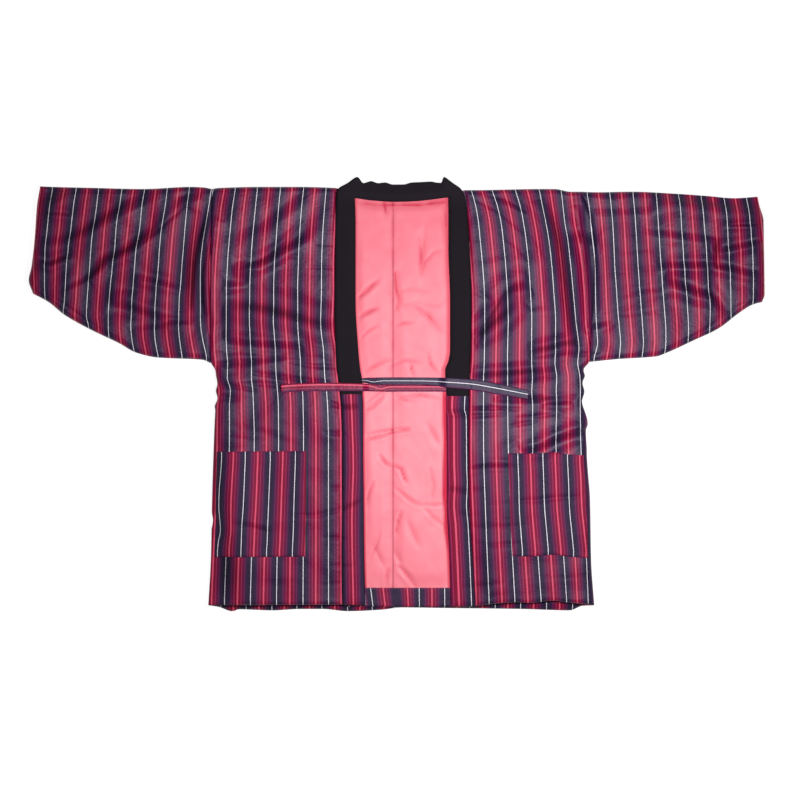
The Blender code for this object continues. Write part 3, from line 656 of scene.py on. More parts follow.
def addObject(name, data):
    made = bpy.data.objects.new(name, data)
    bpy.context.scene.collection.objects.link(made)
    return made


# Four corners of each cell between the left and the right points of a grid
def gridCells(left, right):
    return np.stack((left[:-1], right[:-1], right[1:], left[1:]), axis=-1).reshape(-1, 4)


# A piece's own map: repeats of the stripes across it, and lengths of one along it
def clothMap(repeats, along):
    repeats, along = np.broadcast_arrays(repeats, along / stripes["repeat"])
    return np.dstack((repeats, along))


# Edges that turn by more, in degrees, aren't shaded smooth
sharpAngle = 60.0


# Closes the space between two grids of points into one mesh. A tube, whose grids
# run around it, has a map for each of them
def addPiece(name, top, bottom, mapTop, slotName="striped_cotton", mapBottom=None):
    around = mapBottom is not None
    rows, columns = top.shape[:2]
    count = rows * columns
    index = np.arange(count).reshape(rows, columns)
    right = np.roll(index, -1, axis=1) if around else index[:, 1:]
    left = index if around else index[:, :-1]
    cells = gridCells(left, right)
    faces = [cells, cells[:, ::-1] + count]
    for i, turn in ((0, -1), (rows - 1, 1)):
        strip = np.stack((left[i], right[i], right[i] + count, left[i] + count), axis=-1)
        faces.append(strip[:, ::turn])
    if not around:
        for j, turn in ((0, 1), (columns - 1, -1)):
            low, high = index[:-1, j], index[1:, j]
            faces.append(np.stack((low, high, high + count, low + count), axis=-1)[:, ::turn])
    points = np.concatenate((top.reshape(-1, 3), bottom.reshape(-1, 3))) * mm
    faces = np.concatenate(faces)
    mesh = bpy.data.meshes.new(name)
    mesh.from_pydata(points.tolist(), [], faces.tolist())
    mapUnder = mapBottom if around else mapTop
    clothPlaces = np.concatenate((mapTop.reshape(-1, 2), mapUnder.reshape(-1, 2)))
    layer = mesh.uv_layers.new(name="cloth")
    corners = np.zeros(len(mesh.loops), np.int32)
    mesh.loops.foreach_get("vertex_index", corners)
    layer.data.foreach_set("uv", clothPlaces[corners].astype(np.float32).ravel())
    bm = bmesh.new()
    bm.from_mesh(mesh)
    bmesh.ops.recalc_face_normals(bm, faces=bm.faces[:])
    bm.to_mesh(mesh)
    bm.free()
    mesh.shade_smooth()
    mesh.set_sharp_from_angle(angle=math.radians(sharpAngle))
    mesh.materials.append(surfaces[slotName])
    obj = addObject(name, mesh)
    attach(obj, "root")
    return obj


# Each vertex's share of its surface's marks, which make it duller and, on the lining
# or where they run high, darker with painted shade. A grid of them is of the upper
# side, and the underside repeats it
def mark(obj, shares):
    layer = obj.data.attributes.new("mark", "FLOAT", "POINT")
    layer.data.foreach_set("value", np.resize(shares, len(obj.data.vertices)).astype(np.float32))


# Marks of the fronts and sleeves by the depth of their creases, and along the
# slopes that fall more than "strongDrop". They make the cloth duller, and where they
# run high they paint shade into its creases and steep slopes
dullness = {
    "sharpness": 0.6,
    "shallow": 2.4,
    "deepFrom": 1.8,
    "deep": 2.2,
    "shallowShare": 1.1,
    "deepShare": 1.4,
    "strongDrop": 4.4,
    "strongWidth": 1.3,
    "strongShare": 1.9,
    "most": 2.9,
}

# Where they shine less besides, and add to the painted shade where marks run high:
# place in the photo, reach across and down, share
dullPlaces = (
    (520, 225, 50, 48, 0.8), (525, 320, 50, 40, 0.3), (490, 520, 26, 80, 1.0),
    (530, 370, 60, 40, 0.4), (550, 578, 60, 30, 0.9), (262, 580, 75, 34, 1.4),
    (60, 205, 40, 28, 0.8), (290, 480, 60, 90, 0.8), (175, 280, 38, 60, 0.9),
    (75, 245, 35, 50, 0.8), (622, 270, 35, 60, 0.8), (270, 318, 54, 22, 0.8),
    (474, 540, 16, 70, 0.8),
)


def markDullAndShade(obj):
    points = np.zeros(len(obj.data.vertices) * 3, np.float32)
    obj.data.vertices.foreach_get("co", points)
    x, y = (points.reshape(-1, 3)[:, :2] / mm).T
    px, py = toPhoto(x, y)
    dents = trough(x, y, paddedCreases, dullness["sharpness"])
    strong = [row for row in slopes if row[0] > dullness["strongDrop"]]
    steep = [(dullness["strongWidth"] * width, 1.0, *path) for _, width, *path in strong]
    shares = dullness["shallowShare"] * smoothStep(dents / dullness["shallow"])
    shares = shares + dullness["deepShare"] * smoothStep((dents - dullness["deepFrom"]) / dullness["deep"])
    shares = shares + dullness["strongShare"] * trough(x, y, steep)
    for middleX, middleY, wide, tall, share in dullPlaces:
        away = ((px - middleX) / wide) ** 2 + ((py - middleY) / tall) ** 2
        shares += share * np.exp(-(away**1.5))
    mark(obj, np.clip(shares, 0, dullness["most"]))


# A colour of 0 to 255 as a shader takes it, opaque
def paint(colour):
    shares = [value / 255 for value in colour]
    linear = [c / 12.92 if c <= 0.04045 else ((c + 0.055) / 1.055) ** 2.4 for c in shares]
    return (*linear, 1.0)


# A socket of a shader's tree: arithmetic on it adds the Math nodes
class Wire:
    def __init__(self, surface, socket):
        self.surface = surface
        self.socket = socket

    def math(self, operation, *values):
        return self.surface.node("ShaderNodeMath", {"operation": operation}, dict(enumerate(values)))

    def __add__(self, other):
        return self.math("ADD", self, other)

    def __sub__(self, other):
        return self.math("SUBTRACT", self, other)

    def __rsub__(self, other):
        return self.math("SUBTRACT", other, self)

    def __mul__(self, other):
        return self.math("MULTIPLY", self, other)

    __radd__ = __add__
    __rmul__ = __mul__

    def fract(self):
        return self.math("FRACT", self)

    def sine(self):
        return self.math("SINE", self)

    def size(self):
        return self.math("ABSOLUTE", self)

    def above(self, least):
        return self.math("MAXIMUM", self, least)

    def below(self, most):
        return self.math("MINIMUM", self, most)


# A material whose nodes are added with their settings and inputs
class Surface:
    def __init__(self, name, fixed):
        self.material = bpy.data.materials.new(name)
        self.material.use_nodes = True
        self.tree = self.material.node_tree
        self.shader = self.tree.nodes["Principled BSDF"]
        for key, value in fixed.items():
            self.shader.inputs[key].default_value = value

    def node(self, kind, settings=None, inputs=None, output=0):
        made = self.tree.nodes.new(kind)
        for key, value in (settings or {}).items():
            if key == "stops":
                self.fillRamp(made.color_ramp, value)
            elif key == "interpolation":
                made.color_ramp.interpolation = value
            else:
                setattr(made, key, value)
        for key, value in (inputs or {}).items():
            self.plug(made.inputs[key], value)
        return Wire(self, made.outputs[output])

    def plug(self, socket, value):
        if isinstance(value, Wire):
            self.tree.links.new(value.socket, socket)
        else:
            socket.default_value = value

    def fillRamp(self, ramp, stops):
        while len(ramp.elements) > 1:
            ramp.elements.remove(ramp.elements[-1])
        for k, (position, colour) in enumerate(stops):
            element = ramp.elements[0] if k == 0 else ramp.elements.new(position)
            element.position = position
            element.color = colour

    # The cloth's own map as two numbers, repeats across and along
    def clothMap(self):
        uv = self.node("ShaderNodeUVMap", {"uv_map": "cloth"})
        across = self.node("ShaderNodeSeparateXYZ", None, {0: uv})
        along = self.node("ShaderNodeSeparateXYZ", None, {0: uv}, 1)
        return across, along

    # The pieces' marks, which make a surface duller and paint shade into its colour
    def marks(self):
        return self.node("ShaderNodeAttribute", {"attribute_name": "mark"}, None, 2)

    def vector(self, x, y, z=0.0):
        return self.node("ShaderNodeCombineXYZ", None, {0: x, 1: y, 2: z})

    def noise(self, vector, scale, detail=2.0, roughness=0.5):
        values = {"Vector": vector, "Scale": scale, "Detail": detail, "Roughness": roughness}
        return self.node("ShaderNodeTexNoise", None, values)

    def mix(self, factor, a, b, blend="MIX"):
        settings = {"data_type": "RGBA", "blend_type": blend}
        return self.node("ShaderNodeMix", settings, {0: factor, 6: a, 7: b}, 2)

    def shaded(self, colour, shade):
        return self.mix(1.0, colour, self.vector(shade, shade, shade), "MULTIPLY")

    def objectPlace(self):
        return self.node("ShaderNodeTexCoord", None, None, 3)

    def finish(self, colour, roughness, height, strength, distance):
        self.plug(self.shader.inputs["Base Color"], colour)
        self.plug(self.shader.inputs["Roughness"], roughness)
        values = {"Strength": strength, "Distance": distance, "Height": height}
        self.plug(self.shader.inputs["Normal"], self.node("ShaderNodeBump", None, values))
        return self.material


# Stripes of the cloth: where each yarn colour starts in half a repeat, from the
# white line to the pink one in the middle, and the other half mirrors it
stripes = {
    "chart": (
        (0.0, (243, 238, 252)),
        (0.0145, (34, 25, 46)),
        (0.062, (45, 33, 61)),
        (0.17, (60, 30, 70)),
        (0.2, (86, 24, 68)),
        (0.235, (108, 42, 90)),
        (0.262, (98, 12, 58)),
        (0.315, (122, 18, 64)),
        (0.35, (157, 45, 94)),
        (0.378, (132, 6, 48)),
        (0.472, (228, 84, 119)),
    ),
    "repeat": 45.0,
    "yarn": 0.45,
    "roughness": 0.46,
    "dullness": 0.16,
    "specular": 0.27,
    "tint": (0.96, 0.88, 1.0, 1.0),
    # Marks past the first of these paint shade into the colour, by the second for each, up to the third
    "paintedShadeFrom": 1.7,
    "paintedShadeStrength": 0.36,
    "paintedShadeMost": 0.6,
}


def mirroredStops(chart):
    stops = [(position, paint(colour)) for position, colour in chart]
    ends = [position for position, colour in chart[1:]]
    back = [(1 - end, stops[k][1]) for k, end in enumerate(ends)]
    return stops + back[::-1]


def stripedCotton():
    fixed = {
        "IOR": 1.5,
        "Specular IOR Level": stripes["specular"],
        "Specular Tint": stripes["tint"],
    }
    surface = Surface("stripedCotton", fixed)
    across, along = surface.clothMap()
    yarns = stripes["repeat"] / stripes["yarn"]
    slub = surface.noise(surface.vector(across * yarns, along * 1.4), 1.0, 1.0)
    shifted = across + (slub - 0.5) * 0.006
    ramp = surface.node(
        "ShaderNodeValToRGB",
        {"interpolation": "CONSTANT", "stops": mirroredStops(stripes["chart"])},
        {0: shifted.fract()},
    )
    patchy = surface.noise(surface.vector(across, along), 2.2, 3.0)
    # Painted shade: high marks darken the stripes in deep creases, on steep slopes and along the bands'
    # outer edges
    deep = (surface.marks() - stripes["paintedShadeFrom"]) * stripes["paintedShadeStrength"]
    deep = deep.above(0.0).below(stripes["paintedShadeMost"])
    shade = (slub * 0.3 + patchy * 0.24 + 0.73) * (1.0 - deep)
    colour = surface.shaded(ramp, shade)
    warp = (across * (yarns * math.tau)).sine()
    weft = (along * (yarns * 0.8 * math.tau)).sine()
    crinkle = surface.noise(surface.vector(across, along * 1.5), 5.0, 3.0)
    height = warp * weft * 0.1 + slub * 0.15 + crinkle * 7.0
    roughness = patchy * 0.12 + surface.marks() * stripes["dullness"] + (stripes["roughness"] - 0.06)
    return surface.finish(colour, roughness, height, 1.0, 0.00012)


# The collar's dark cotton, lighter where it crosses the neck: "neckFrom" and
# "neckTo" are its y there, in metres
collarLook = {
    "colour": (25, 20, 27),
    "lint": (58, 52, 58),
    "neck": 0.4,
    "neckFrom": 0.345,
    "neckTo": 0.37,
    "roughness": 0.88,
}


def collarCotton():
    surface = Surface("collarCotton", {"Specular IOR Level": 0.2})
    place = surface.objectPlace()
    cloudy = surface.noise(place, 22.0, 4.0, 0.6)
    grain = surface.noise(place, 1400.0, 2.0)
    specks = surface.node("ShaderNodeTexVoronoi", {"feature": "F1"}, {"Vector": place, "Scale": 160.0})
    stops = ((0.0, (0.35, 0.35, 0.35, 1.0)), (0.06, (0.0, 0.0, 0.0, 1.0)))
    lint = surface.node("ShaderNodeValToRGB", {"stops": stops}, {0: specks})
    toNeck = surface.node("ShaderNodeSeparateXYZ", None, {0: place}, 1)
    ranges = {0: toNeck, 1: collarLook["neckFrom"], 2: collarLook["neckTo"], 3: 0.0, 4: collarLook["neck"]}
    atNeck = surface.node("ShaderNodeMapRange", None, ranges)
    base = surface.shaded(paint(collarLook["colour"]), cloudy * 0.5 + grain * 0.3 + atNeck + 0.6)
    colour = surface.mix(lint, base, paint(collarLook["lint"]))
    roughness = cloudy * 0.1 + (collarLook["roughness"] - 0.05)
    return surface.finish(colour, roughness, grain, 0.35, 0.0003)


# The lining's satin, whose pink deepens with painted shade at its marks. Its centre
# seam, a painted shadow of its groove, fades above "seamTop", in repeats of the
# stripes
liningLook = {
    "colour": (255, 140, 155),
    "deep": (255, 108, 130),
    # Colours of the painted shadow in the seam's groove and the painted shade in creases
    "seam": (150, 20, 62),
    "crease": (206, 20, 64),
    "seamWidth": 1.2,
    "seamTop": 6.2,
    "seamLeast": 0.25,
    "seamShare": 0.66,
    "yarn": 0.5,
}


def liningSatin():
    surface = Surface("liningSatin", {"Specular IOR Level": 0.45, "Sheen Weight": 0.1})
    across, along = surface.clothMap()
    yarns = stripes["repeat"] / liningLook["yarn"]
    slub = surface.noise(surface.vector(across * 5.0, along * yarns), 1.0, 1.0)
    cloudy = surface.noise(surface.vector(across, along), 1.6, 3.0)
    light, deep, crease, seam = (paint(liningLook[key]) for key in ("colour", "deep", "crease", "seam"))
    colour = surface.mix(cloudy * 0.5 + slub * 0.25, light, deep)
    # Painted shade: the marks deepen the pink towards the crease colour
    colour = surface.mix(surface.marks(), colour, crease)
    # Painted shadow of the centre seam's groove
    toSeam = (across * stripes["repeat"] - places["centreSeam"]).size()
    inSeam = (1.0 - toSeam * (1 / liningLook["seamWidth"])).above(0.0)
    inSeam = inSeam * ((liningLook["seamTop"] - along) * 1.2).above(liningLook["seamLeast"]).below(1.0)
    colour = surface.mix(inSeam * liningLook["seamShare"], colour, seam)
    warp = (across * (yarns * math.tau)).sine()
    roughness = cloudy * 0.12 + surface.marks() * 0.42 + inSeam * 0.4 + 0.42
    return surface.finish(colour, roughness, warp * 0.3 + slub, 0.15, 0.00012)


striped = stripedCotton()
surfaces = {
    "striped_cotton": striped,
    "collar_cotton": collarCotton(),
    "lining_satin": liningSatin(),
    "tie_grey": striped,
    "tie_red": striped,
}
print("materials made")


# How Blender's cloth simulation settles the wadded panels, in millimetres. Of its
# wrinkles, those between "fine" and "broad", in cells, are kept
settling = {
    "cell": 8.0,
    "uneven": 0.8,
    "unevenCell": 9,
    "frames": 22,
    "fine": 1,
    "broad": 4,
    "share": 0.5,
    "most": 2.2,
}

# The cloth is pinned along its seams and 3% larger than its sewn outline
clothSettings = {
    "quality": 5,
    "mass": 0.3,
    "tension_stiffness": 15.0,
    "compression_stiffness": 15.0,
    "bending_stiffness": 0.5,
    "vertex_group_mass": "seams",
    "shrink_min": -0.03,
    "use_pressure": True,
    "uniform_pressure_force": 0.05,
}


# Mean of the values within so many cells
def blurred(values, reach):
    padded = np.pad(values, reach, mode="edge")
    size = 2 * reach + 1
    rows, columns = values.shape
    total = sum(padded[i : i + rows, j : j + columns] for i in range(size) for j in range(size))
    return total / size**2


# Pins a panel's rim and lets the rest of it grow over a slight pressure
def addClothModifier(obj, rim):
    obj.vertex_groups.new(name="seams").add(rim.tolist(), 1.0, "REPLACE")
    modifier = obj.modifiers.new("cloth", "CLOTH")
    for key, value in clothSettings.items():
        setattr(modifier.settings, key, value)
    modifier.settings.effector_weights.gravity = 0
    modifier.point_cache.frame_start = 1
    modifier.point_cache.frame_end = settling["frames"]


# Change of height where a panel, pinned along its seams, buckles from the given
# form
def wrinkles(name, x, y):
    cell = settling["unevenCell"]
    start = limited(wadding(x, y)) + settling["uneven"] * noise(x / cell, y / cell, 95)
    rows, columns = x.shape
    index = np.arange(rows * columns).reshape(rows, columns)
    cells = gridCells(index[:, :-1], index[:, 1:])
    mesh = bpy.data.meshes.new(name + "Cloth")
    mesh.from_pydata((np.dstack((x, y, start)).reshape(-1, 3) * mm).tolist(), [], cells.tolist())
    obj = addObject(name + "Cloth", mesh)
    addClothModifier(obj, np.concatenate((index[0], index[-1], index[1:-1, 0], index[1:-1, -1])))
    for frame in range(1, settling["frames"] + 1):
        bpy.context.scene.frame_set(frame)
    seen = obj.evaluated_get(bpy.context.evaluated_depsgraph_get())
    settled = np.zeros(len(mesh.vertices) * 3, np.float32)
    seen.data.vertices.foreach_get("co", settled)
    bpy.data.objects.remove(obj)
    bpy.context.scene.frame_set(1)
    change = settled.reshape(rows, columns, 3)[..., 2] / mm - start
    change = blurred(change, settling["fine"]) - blurred(change, settling["broad"])
    print(name, "settled, wrinkles of", round(float(change.std()), 2), "mm")
    return settling["most"] * np.tanh(settling["share"] * change / settling["most"])


# Values of a coarse grid at the places of a fine one
def refined(values, rows, columns, fineRows, fineColumns):
    across = np.array([curve(np.column_stack((columns, row)))(fineColumns) for row in values])
    return np.array([curve(np.column_stack((rows, column)))(fineRows) for column in across.T]).T


# Wrinkles of a panel at its fine grid, from the one on which it settles
def settledAt(name, planOf, coarse, fine):
    return refined(wrinkles(name, *planOf(*coarse)), *coarse, *fine)


# 1 at the armhole and 0 at the side seam below it
def armhole(half, y):
    return smoothStep((y - half["underarm"] + 6) / 14)


def frontHeights(half, x, y, settled):
    seam = armhole(half, y)
    toBand = np.abs(x - half["bandOuter"](y))
    toSide = np.abs(x - half["outer"](y))
    toHem = y - half["frontHemAt"](x)
    toShoulder = half["shoulderAt"](x) - y
    edges = (
        edge(toBand, "bandSeam"),
        edge(toSide, "frontSide", "armhole", seam),
        edge(toHem, "frontHem"),
        edge(toShoulder, "shoulder"),
    )
    topShare, lift = shareAtEdges(edges)
    puckers = pucker(toBand, y, "frontBand") + pucker(toSide, y, "frontSide")
    puckers = puckers + pucker(toHem, x, "frontHem") + pucker(toShoulder, x, "frontShoulder")
    bottom = layers["frontBase"] + layers["frontPad"] * lift
    form = limited(wadding(x, y) + puckers + settled)
    top = layers["frontBase"] + topShare * (layers["frontPad"] + form)
    return np.maximum(top, bottom + layers["thinEdge"]), bottom


# Widest distance between a piece's points, across and along it. The turned-up
# hem's across is a share of its width
spacings = {
    "front": (2.5, 2.5),
    "back": (6, 6),
    "sleeve": (2.5, 2.5),
    "lining": (2.2, 2.3),
    "turnUp": (0.012, 2.5),
    "band": (2.6, 3),
    "collar": (2.6, 3),
    "collarStraight": 3.5,
    "tie": 2.4,
}

# Distances from an edge at which a padded piece has closer rows
rims = {
    "hem": (0.8, 3, 7),
    "bandHem": (0.8, 3, 6, 11),
    "seam": (0.8, 2.5, 5, 9),
    "side": (0.7, 2, 4, 18),
    "shoulder": (0.8, 2.5, 6),
    "backHem": (0.8, 2, 4, 10),
    "backUnderBand": (65, 100, 122),
    "backSide": (0.7, 2, 4, 8, 16),
    "backTop": (2, 6, 17),
    "sleeveFold": (0.7, 2, 5, 10),
    "armhole": (0.8, 2.5, 5, 10),
    "cuff": (1, 3, 6, 12),
    "bandFold": (0.7, 2, 4, 7),
    "bandSeam": (0.7, 2, 4),
    "collarFold": (0.7, 2, 4, 7, 14, 24),
    "collarSeam": (0.7, 2, 6),
}

# A pocket flattens the wrinkles under it, and its rim is rolled
pocket = {
    "flatness": 0.5,
    "blend": 8,
    "rim": 2.2,
    "edge": 0.25,
    "dullness": {"right": 1.5, "left": 1.3},
}


# The pocket lies flatter than the cloth around it
def besidePocket(half, x, y):
    low, high, inner, _ = half["pocket"]
    blend = pocket["blend"]
    tall = smoothStep((y - low + blend) / (2 * blend)) * smoothStep((high + blend - y) / (2 * blend))
    return 1 - pocket["flatness"] * tall * smoothStep((np.abs(x) - abs(inner) + blend) / (2 * blend))


# A grid of points and its heights
def lifted(x, y, z):
    return np.dstack((x, y, z + 0 * x))


def nearest(values, at):
    return int(np.argmin(np.abs(values - at)))


def addFrontAndPocket(half):
    side, title, gap = half["side"], half["title"], half["gap"]
    low, high, pocketInner, pocketOuter = half["pocket"]
    inner, outer = half["bandOuter"]((low + high) / 2), half["outer"]((low + high) / 2)
    width, pocketIn = float(abs(outer - inner)), float(abs(pocketInner - inner))
    pocketSides = (pocketIn, pocketIn + 1, width - pocketOuter - 1, width - pocketOuter)
    pocketEnds = (low, low + 1, high - 1, high, half["underarm"])
    wide, tall = spacings["front"]
    across = rimmedStations(0, width, rims["seam"], rims["side"], wide, pocketSides)
    rows = rimmedStations(half["hem"], half["armTop"], rims["hem"], rims["shoulder"], tall, pocketEnds)

    def planOf(rows, across):
        return panelPlan(
            across,
            rows,
            lambda y: half["bandOuter"](y) + gap,
            lambda y: half["outer"](y) - gap,
            half["frontHemAt"],
            half["shoulderAt"],
        )

    x, y = planOf(rows, across / width)
    cell = settling["cell"]
    coarse = stations((rows[0], rows[-1]), cell), stations((0, width), cell) / width
    settled = settledAt("front" + title, planOf, coarse, (rows, across / width)) * besidePocket(half, x, y)
    top, bottom = frontHeights(half, x, y, settled)
    upper = lifted(x, y, top)
    half["frontTop"] = upper.reshape(-1, 3)
    mapped = clothMap(stripesAt(x, y, "front" + title), y)
    front = addPiece("front" + title, upper, lifted(x, y, bottom), mapped)
    markDullAndShade(front)
    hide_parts("front_" + side)

    first, last = nearest(across, pocketIn), nearest(across, width - pocketOuter) + 1
    foot, head = nearest(rows, low), nearest(rows, high) + 1
    patch = upper[foot:head, first:last]
    acrossPatch = (across[first:last] - across[first])[None, :]
    upPatch = (rows[foot:head] - rows[foot])[:, None]
    rim = np.minimum(acrossPatch, acrossPatch[:, -1:] - acrossPatch)
    rim = np.minimum(rim, np.minimum(upPatch, upPatch[-1:] - upPatch))
    thick = layers["pocket"] * (pocket["edge"] + (1 - pocket["edge"]) * roll(rim, pocket["rim"]))
    under = patch + (0, 0, layers["gap"])
    raised = under.copy()
    raised[..., 2] += thick
    x, y = patch[..., 0], patch[..., 1]
    mapped = clothMap(stripesAt(x, y, "pocket" + title), y)
    made = addPiece("pocket" + title, raised, under, mapped)
    mark(made, pocket["dullness"][side])
    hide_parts("pocket_" + side)
    return raised


# The back, which shows at the hem and at the sides
def addBack(half):
    gap, title = half["gap"], half["title"]
    corner = half["bandOuter"](places["neckline"])
    neckRows = [
        (places["centreSeam"], places["neckline"]),
        (corner - half["sign"] * places["neckCorner"], places["neckline"]),
    ]
    hem, neck = curve(backHem), curve(neckRows + list(half["shoulder"]))
    width = float(abs(half["outer"](0) - places["centreSeam"]))
    wide, tall = spacings["back"]
    across = rimmedStations(0, width, rims["backUnderBand"], rims["backSide"], wide)
    low = float(hem(half["outer"](places["hemAt"])))
    rows = rimmedStations(low, half["armTop"], rims["backHem"], rims["backTop"], tall, [half["underarm"]])
    x, y = panelPlan(
        across / width,
        rows,
        lambda y: places["backSeam"] + gap + 0 * y,
        lambda y: half["outer"](y) - gap,
        hem,
        neck,
    )
    besideNeck = smoothStep((np.abs(x) - np.abs(half["bandOuter"](y))) / 12)
    toHem = y - hem(x)
    edges = (
        edge(np.abs(x - half["outer"](y)), "backSide", "none", armhole(half, y)),
        edge(toHem, "backHem"),
        edge(neck(x) - y, "none", "backSide", besideNeck),
    )
    topShare, lift = shareAtEdges(edges)
    topZ = layers["backPad"] * topShare + pucker(toHem, x, "backHem") * smoothStep(toHem / 2)
    topZ = np.minimum(topZ, layers["backPad"])
    bottomZ = np.minimum(layers["backPad"] * lift, topZ - layers["thinEdge"])
    mapped = clothMap(stripesAt(x, np.minimum(y, places["backStripes"]), "backHem"), y)
    back = addPiece("back" + title, lifted(x, y, topZ), lifted(x, y, bottomZ), mapped)
    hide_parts("back_" + half["side"])


# A sleeve's inside: how far it stays from the folds, half its height, and how
# much that grows from a share of the length to the cuff
sleeve = {
    "inset": 8.0,
    "gap": 0.6,
    "mouth": 1.1,
    "mouthFrom": 0.85,
    "mouthOver": 0.15,
    "bevel": 1.5,
    "thinnest": 0.6,
}


def aroundTube(x, y, top, bottom):
    return np.concatenate((lifted(x, y, top), lifted(x, y, bottom)[:, ::-1]), axis=1)


# A flattened tube with its fold above and its seam below
def addSleeve(half):
    gap, title = half["gap"], half["title"]
    low, high = half["underarm"], half["armTop"]
    length = places["sleeveLength"]
    along, tall = spacings["sleeve"]
    away = rimmedStations(0, length, rims["armhole"], rims["cuff"], along) / length
    seamRows = rimmedStations(low, high, rims["sleeveFold"], rims["sleeveFold"], tall)
    cuffRows = sorted(half["cuff"])

    def shares(away, seamRows):
        s, seamY = np.meshgrid(away, seamRows, indexing="ij")
        return s, seamY, (seamY - low) / (high - low)

    def planOf(away, seamRows):
        s, seamY, w = shares(away, seamRows)
        cuffY = cuffRows[0][0] + w * (cuffRows[-1][0] - cuffRows[0][0])
        x = (half["outer"](seamY) + gap) * (1 - s) + half["cuffAt"](cuffY) * s
        lowY, highY = half["sleeveLowAt"](x), half["sleeveTopAt"](x)
        y = lowY + w * (highY - lowY)
        return x, y + (1 - s) * (seamY - y[:1])

    s, _, w = shares(away, seamRows)
    x, y = planOf(away, seamRows)
    cell = settling["cell"]
    coarse = stations((0, length), cell) / length, stations((low, high), cell)
    settled = settledAt("sleeve" + title, planOf, coarse, (away, seamRows))
    toArm, toCuff = np.abs(x - half["outer"](y)), (1 - s) * length
    toLow, toTop = y - half["sleeveLowAt"](x), half["sleeveTopAt"](x) - y
    edges = (
        edge(toArm, "armhole"),
        edge(toCuff, "cuff"),
        edge(toLow, "sleeveFold"),
        edge(toTop, "sleeveFold"),
    )
    topShare, lift = shareAtEdges(edges)
    puckers = pucker(toArm, y, "sleeveArmhole") + pucker(toLow, x, "sleeveLow")
    puckers = puckers + pucker(toCuff, y, "sleeveCuff") + pucker(toTop, x, "sleeveTop")
    form = limited(wadding(x, y) + puckers + settled)
    middle = layers["frontBase"] - layers["gap"] / 2
    inside = sleeve["gap"] + sleeve["mouth"] * smoothStep((s - sleeve["mouthFrom"]) / sleeve["mouthOver"])
    least = inside + sleeve["thinnest"]
    top = np.maximum(layers["frontBase"] + topShare * (layers["frontPad"] + form), middle + least)
    bottom = np.minimum(layers["backPad"] * lift, middle - least)
    margin = sleeve["inset"] / (high - low)
    inset = margin + w[0] * (1 - 2 * margin)
    innerX, innerY = (np.array([np.interp(inset, w[0], row) for row in grid]) for grid in (x, y))
    innerX[0] += sleeve["bevel"] * half["sign"]
    outer = aroundTube(x, y, top, bottom)
    inner = aroundTube(innerX, innerY, middle + inside, middle - inside)
    placesOf = [(grid[..., 0], grid[..., 1]) for grid in (outer, inner)]
    maps = [clothMap(stripesAt(x, y, "sleeve" + title), y) for x, y in placesOf]
    made = addPiece("sleeve" + title, outer, inner, maps[0], mapBottom=maps[1])
    markDullAndShade(made)
    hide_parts("sleeve_" + half["side"])


# The lining's relief, and how much of its painted shade comes from where
lining = {
    "puff": 2.3,
    "creases": 2.0,
    "gap": 0.25,
    "sharpness": 0.7,
    "ridge": 0.2,
    "lineWidth": 0.45,
    "lineShare": 0.55,
    "dentShare": 0.25,
    "neckShare": 0.35,
    "seamShare": 0.3,
    "highShare": 0.08,
    "rightShade": 2.6,
    "shadeBlend": 2.2,
    "deepest": 0.95,
}

# Width of the deep pink shade along the left band by heights in the photo
leftShade = (
    (100, 5), (395, 7), (420, 7), (438, 6), (468, 8), (495, 8.5), (512, 6), (528, 7.5), (550, 4.5),
    (600, 3),
)


# Painted shade of the lining: how deep its pink is in its creases, at the neck under
# the collar, in the seam's groove and in the bands' shadow, and darker towards the top
def liningShade(half, x, y, seam, toBand, dents):
    narrow = [(width * lining["lineWidth"], *row) for width, *row in liningCreases]
    atNeck = np.exp(-(((places["neckline"] - 8 - y) / 11) ** 2))
    lines = smoothStep(trough(x, y, narrow, 1.0) / 1.4)
    shade = lining["lineShare"] * lines + lining["dentShare"] * smoothStep(dents / 2.4)
    shade = shade + lining["neckShare"] * atNeck + lining["seamShare"] * np.exp(-((seam / 4) ** 2))
    shade = shade * (0.75 + 0.35 * noise(x / 12, y / 19, 55))
    wide = lining["rightShade"]
    if half["side"] == "left":
        heights, widths = np.array(leftShade, float).T
        wide = np.interp(toPhoto(x, y)[1], heights, widths)
    strong, blend, high = 0.5 + 0.45 * smoothStep((20 - y) / 30), lining["shadeBlend"], lining["highShare"]
    shade = np.maximum(shade, strong * smoothStep((wide + blend - toBand) / (2 * blend)))
    shade = shade + high * smoothStep((y + 20) / 80) + high * smoothStep((y - 170) / 120)
    return np.clip(shade, 0, lining["deepest"])


